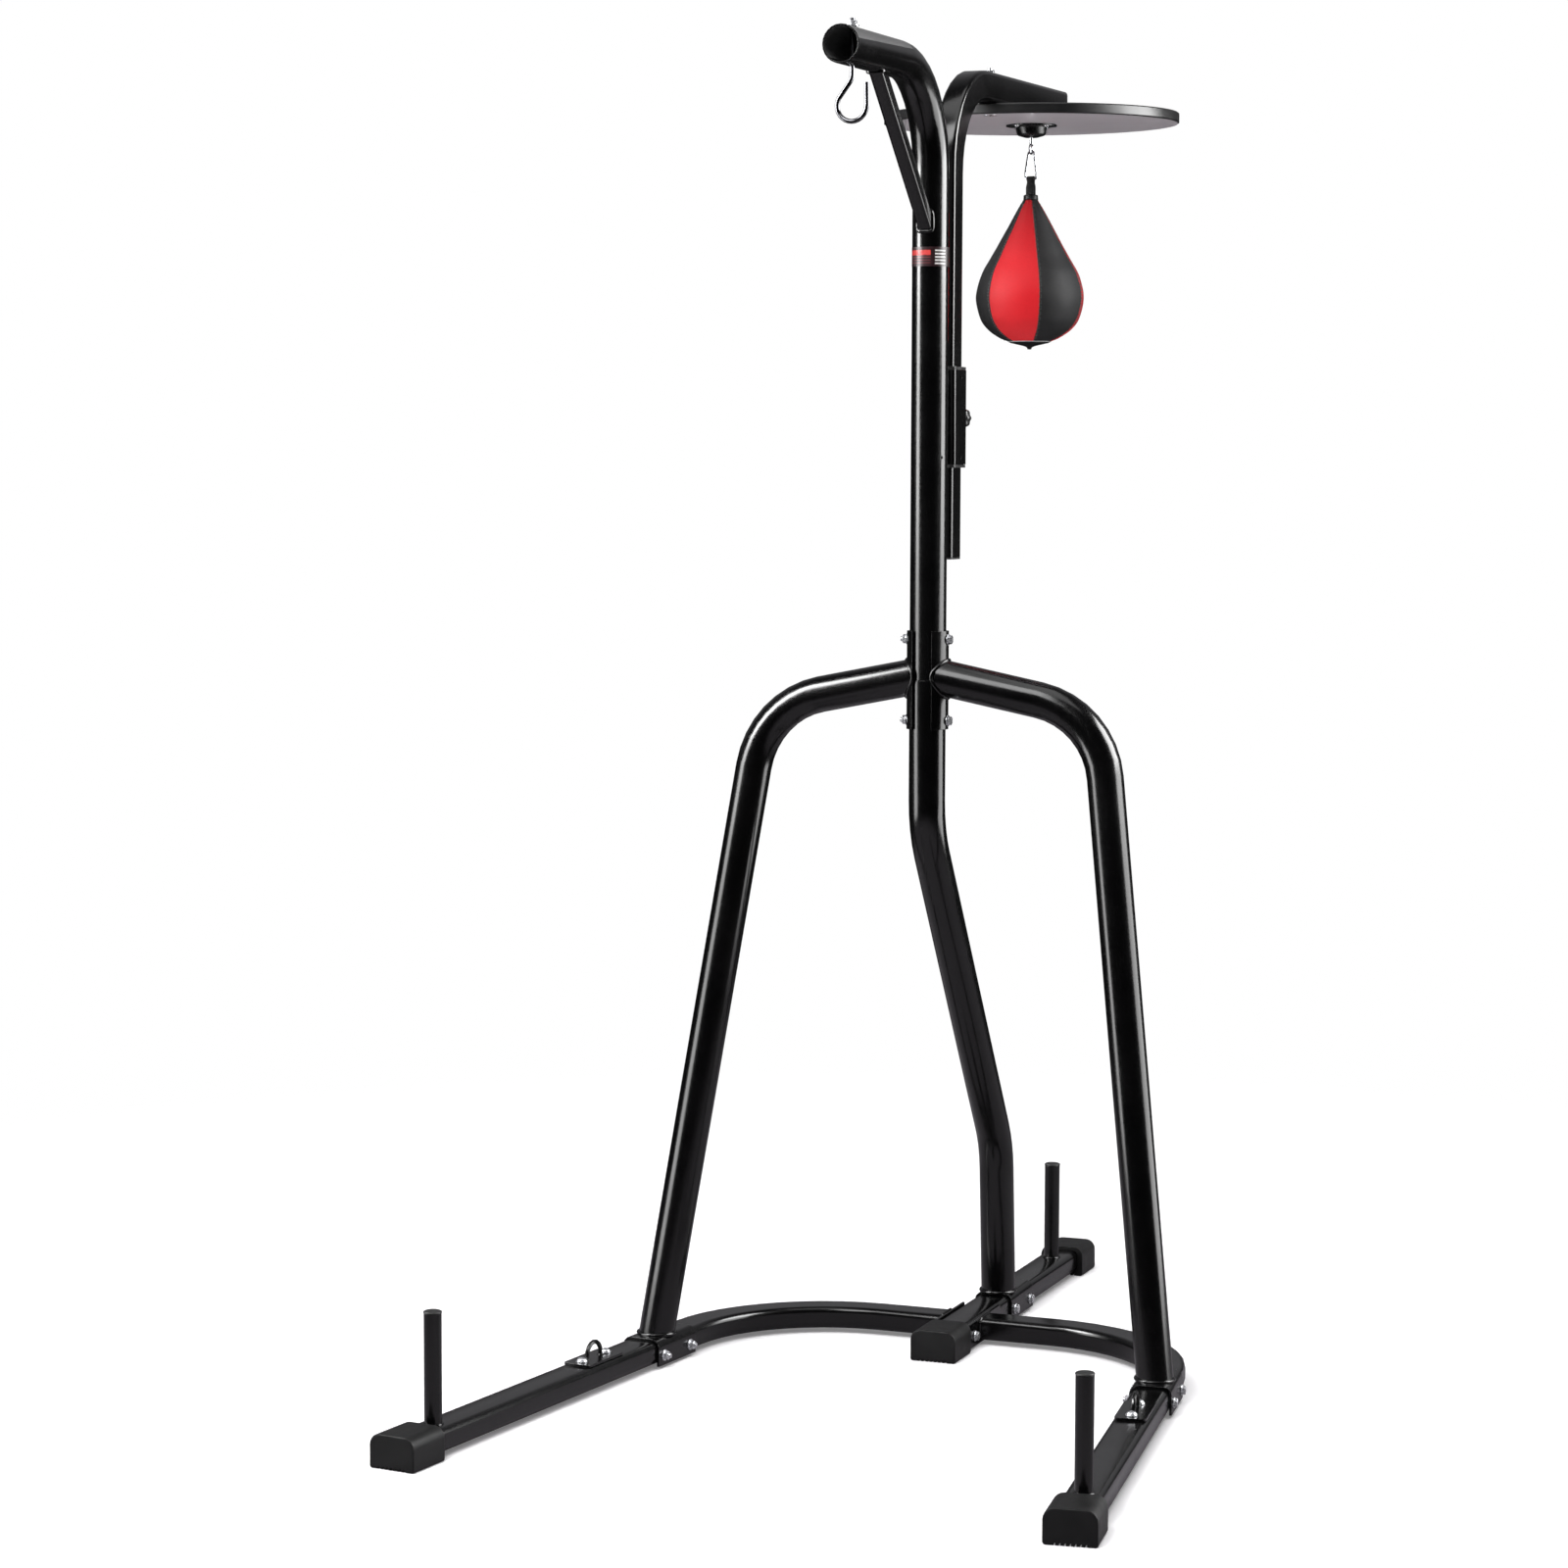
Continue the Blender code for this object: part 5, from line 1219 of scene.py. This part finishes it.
def add_light(name, azimuth_deg, distance, height, size, radiance, aim_z, seen_by):
    """A soft panel at an azimuth seen from the stand, 0 at the camera and positive to its right.
    seen_by is "gloss" for a panel that only makes reflections, "diffuse" for one that makes none."""
    toward = math.atan2(CAMERA_PLACE.x, -CAMERA_PLACE.y) + math.radians(azimuth_deg)
    place = Vector((distance * math.sin(toward), -distance * math.cos(toward), height))
    data = bpy.data.lights.new(name, "AREA")
    data.shape = "RECTANGLE"
    data.size, data.size_y = size
    data.energy = radiance * math.pi * size[0] * size[1]
    obj = add_object(name, data)
    aim = Vector((0, 0, aim_z)) - place
    obj.rotation_euler = aim.to_track_quat("-Z", "Y").to_euler()
    obj.location = place
    obj.visible_camera = False
    obj.visible_glossy = seen_by != "diffuse"
    obj.visible_diffuse = seen_by != "gloss"


def mix_shaders(tree, factor, a, b):
    made = tree.nodes.new("ShaderNodeMixShader")
    tree.links.new(factor, made.inputs["Fac"])
    tree.links.new(a, made.inputs[1])
    tree.links.new(b, made.inputs[2])
    return made.outputs["Shader"]


def smooth_ramp(tree, value, low, high, new_low, new_high):
    made = tree.nodes.new("ShaderNodeMapRange")
    made.interpolation_type = "SMOOTHSTEP"
    tree.links.new(value, made.inputs["Value"])
    set_range(made, low, high, new_low, new_high)
    return made.outputs["Result"]


def build_world():
    """White to the camera; for everything else a dark room with a pale slope high behind the stand."""
    world = bpy.data.worlds.new("studio")
    world.use_nodes = True
    tree = world.node_tree
    tree.nodes.clear()
    place = tree.nodes.new("ShaderNodeTexCoord").outputs["Generated"]
    away = Vector((-CAMERA_PLACE.x, -CAMERA_PLACE.y, 0)).normalized()
    facing = tree.nodes.new("ShaderNodeVectorMath")
    facing.operation = "DOT_PRODUCT"
    tree.links.new(place, facing.inputs[0])
    facing.inputs[1].default_value = away
    split = tree.nodes.new("ShaderNodeSeparateXYZ")
    tree.links.new(place, split.inputs["Vector"])
    wall = smooth_ramp(tree, facing.outputs["Value"], 0.2, 0.95, 0.0, 1.0)
    height = smooth_ramp(tree, split.outputs["Z"], 0.06, 0.24, 0.02, 0.28)
    both = tree.nodes.new("ShaderNodeMath")
    both.operation = "MULTIPLY_ADD"
    tree.links.new(wall, both.inputs[0])
    tree.links.new(height, both.inputs[1])
    both.inputs[2].default_value = 0.005
    room = tree.nodes.new("ShaderNodeBackground")
    tree.links.new(both.outputs["Value"], room.inputs["Strength"])
    white = tree.nodes.new("ShaderNodeBackground")
    white.inputs["Strength"].default_value = 1.0
    white.inputs["Color"].default_value = (1, 1, 1, 1)
    room.inputs["Color"].default_value = (0.97, 0.96, 1.0, 1)
    seen = mix_shaders(tree, tree.nodes.new("ShaderNodeLightPath").outputs["Is Camera Ray"],
                       room.outputs["Background"], white.outputs["Background"])
    out = tree.nodes.new("ShaderNodeOutputWorld")
    tree.links.new(seen, out.inputs["Surface"])
    bpy.context.scene.world = world


def build_floor():
    """Pale round floor that fades into the white background, and darker where the coat mirrors it."""
    bm = bmesh.new()
    bmesh.ops.create_circle(bm, cap_ends=True, radius=FLOOR_RADIUS, segments=96)
    mesh = mesh_from("floor", bm)
    floor = add_object("floor", mesh)
    floor.location.z = -0.0002
    paper = bpy.data.materials.new("floor_paper")
    paper.use_nodes = True
    tree = paper.node_tree
    surface = tree.nodes["Principled BSDF"]
    surface.inputs["Base Color"].default_value = (0.90, 0.89, 0.905, 1)
    surface.inputs["Roughness"].default_value = 0.9
    surface.inputs["Specular IOR Level"].default_value = 0.1
    surface.inputs["Emission Color"].default_value = (1, 0.985, 1, 1)
    surface.inputs["Emission Strength"].default_value = 0.16
    place = tree.nodes.new("ShaderNodeTexCoord").outputs["Object"]
    far = tree.nodes.new("ShaderNodeVectorMath")
    far.operation = "LENGTH"
    tree.links.new(place, far.inputs[0])
    fade = smooth_ramp(tree, far.outputs["Value"], FADE_START, FADE_END, 0.0, 1.0)
    clear = tree.nodes.new("ShaderNodeBsdfTransparent")
    dark = tree.nodes.new("ShaderNodeBsdfDiffuse")
    dark.inputs["Color"].default_value = (0.26, 0.245, 0.265, 1)
    mirrored = mix_shaders(tree, tree.nodes.new("ShaderNodeLightPath").outputs["Is Glossy Ray"],
                           surface.outputs["BSDF"], dark.outputs["BSDF"])
    seen = mix_shaders(tree, fade, mirrored, clear.outputs["BSDF"])
    tree.links.new(seen, tree.nodes["Material Output"].inputs["Surface"])
    mesh.materials.append(paper)


def build_studio():
    build_camera()
    build_world()
    build_floor()
    for light in LIGHTS:
        add_light(*light)
    bpy.context.scene.view_settings.view_transform = "Standard"
    bpy.context.scene.view_settings.look = "None"


def main():
    dress_nodes()
    build_leg_welds()
    build_rear_weld()
    build_brace_welds()
    build_small_welds()
    build_swivel_screws()
    build_knob()
    build_hook_threads()
    build_label()
    build_bag_stitches(build_bag())
    build_crown()
    build_strap()
    build_base()
    build_studio()


main()
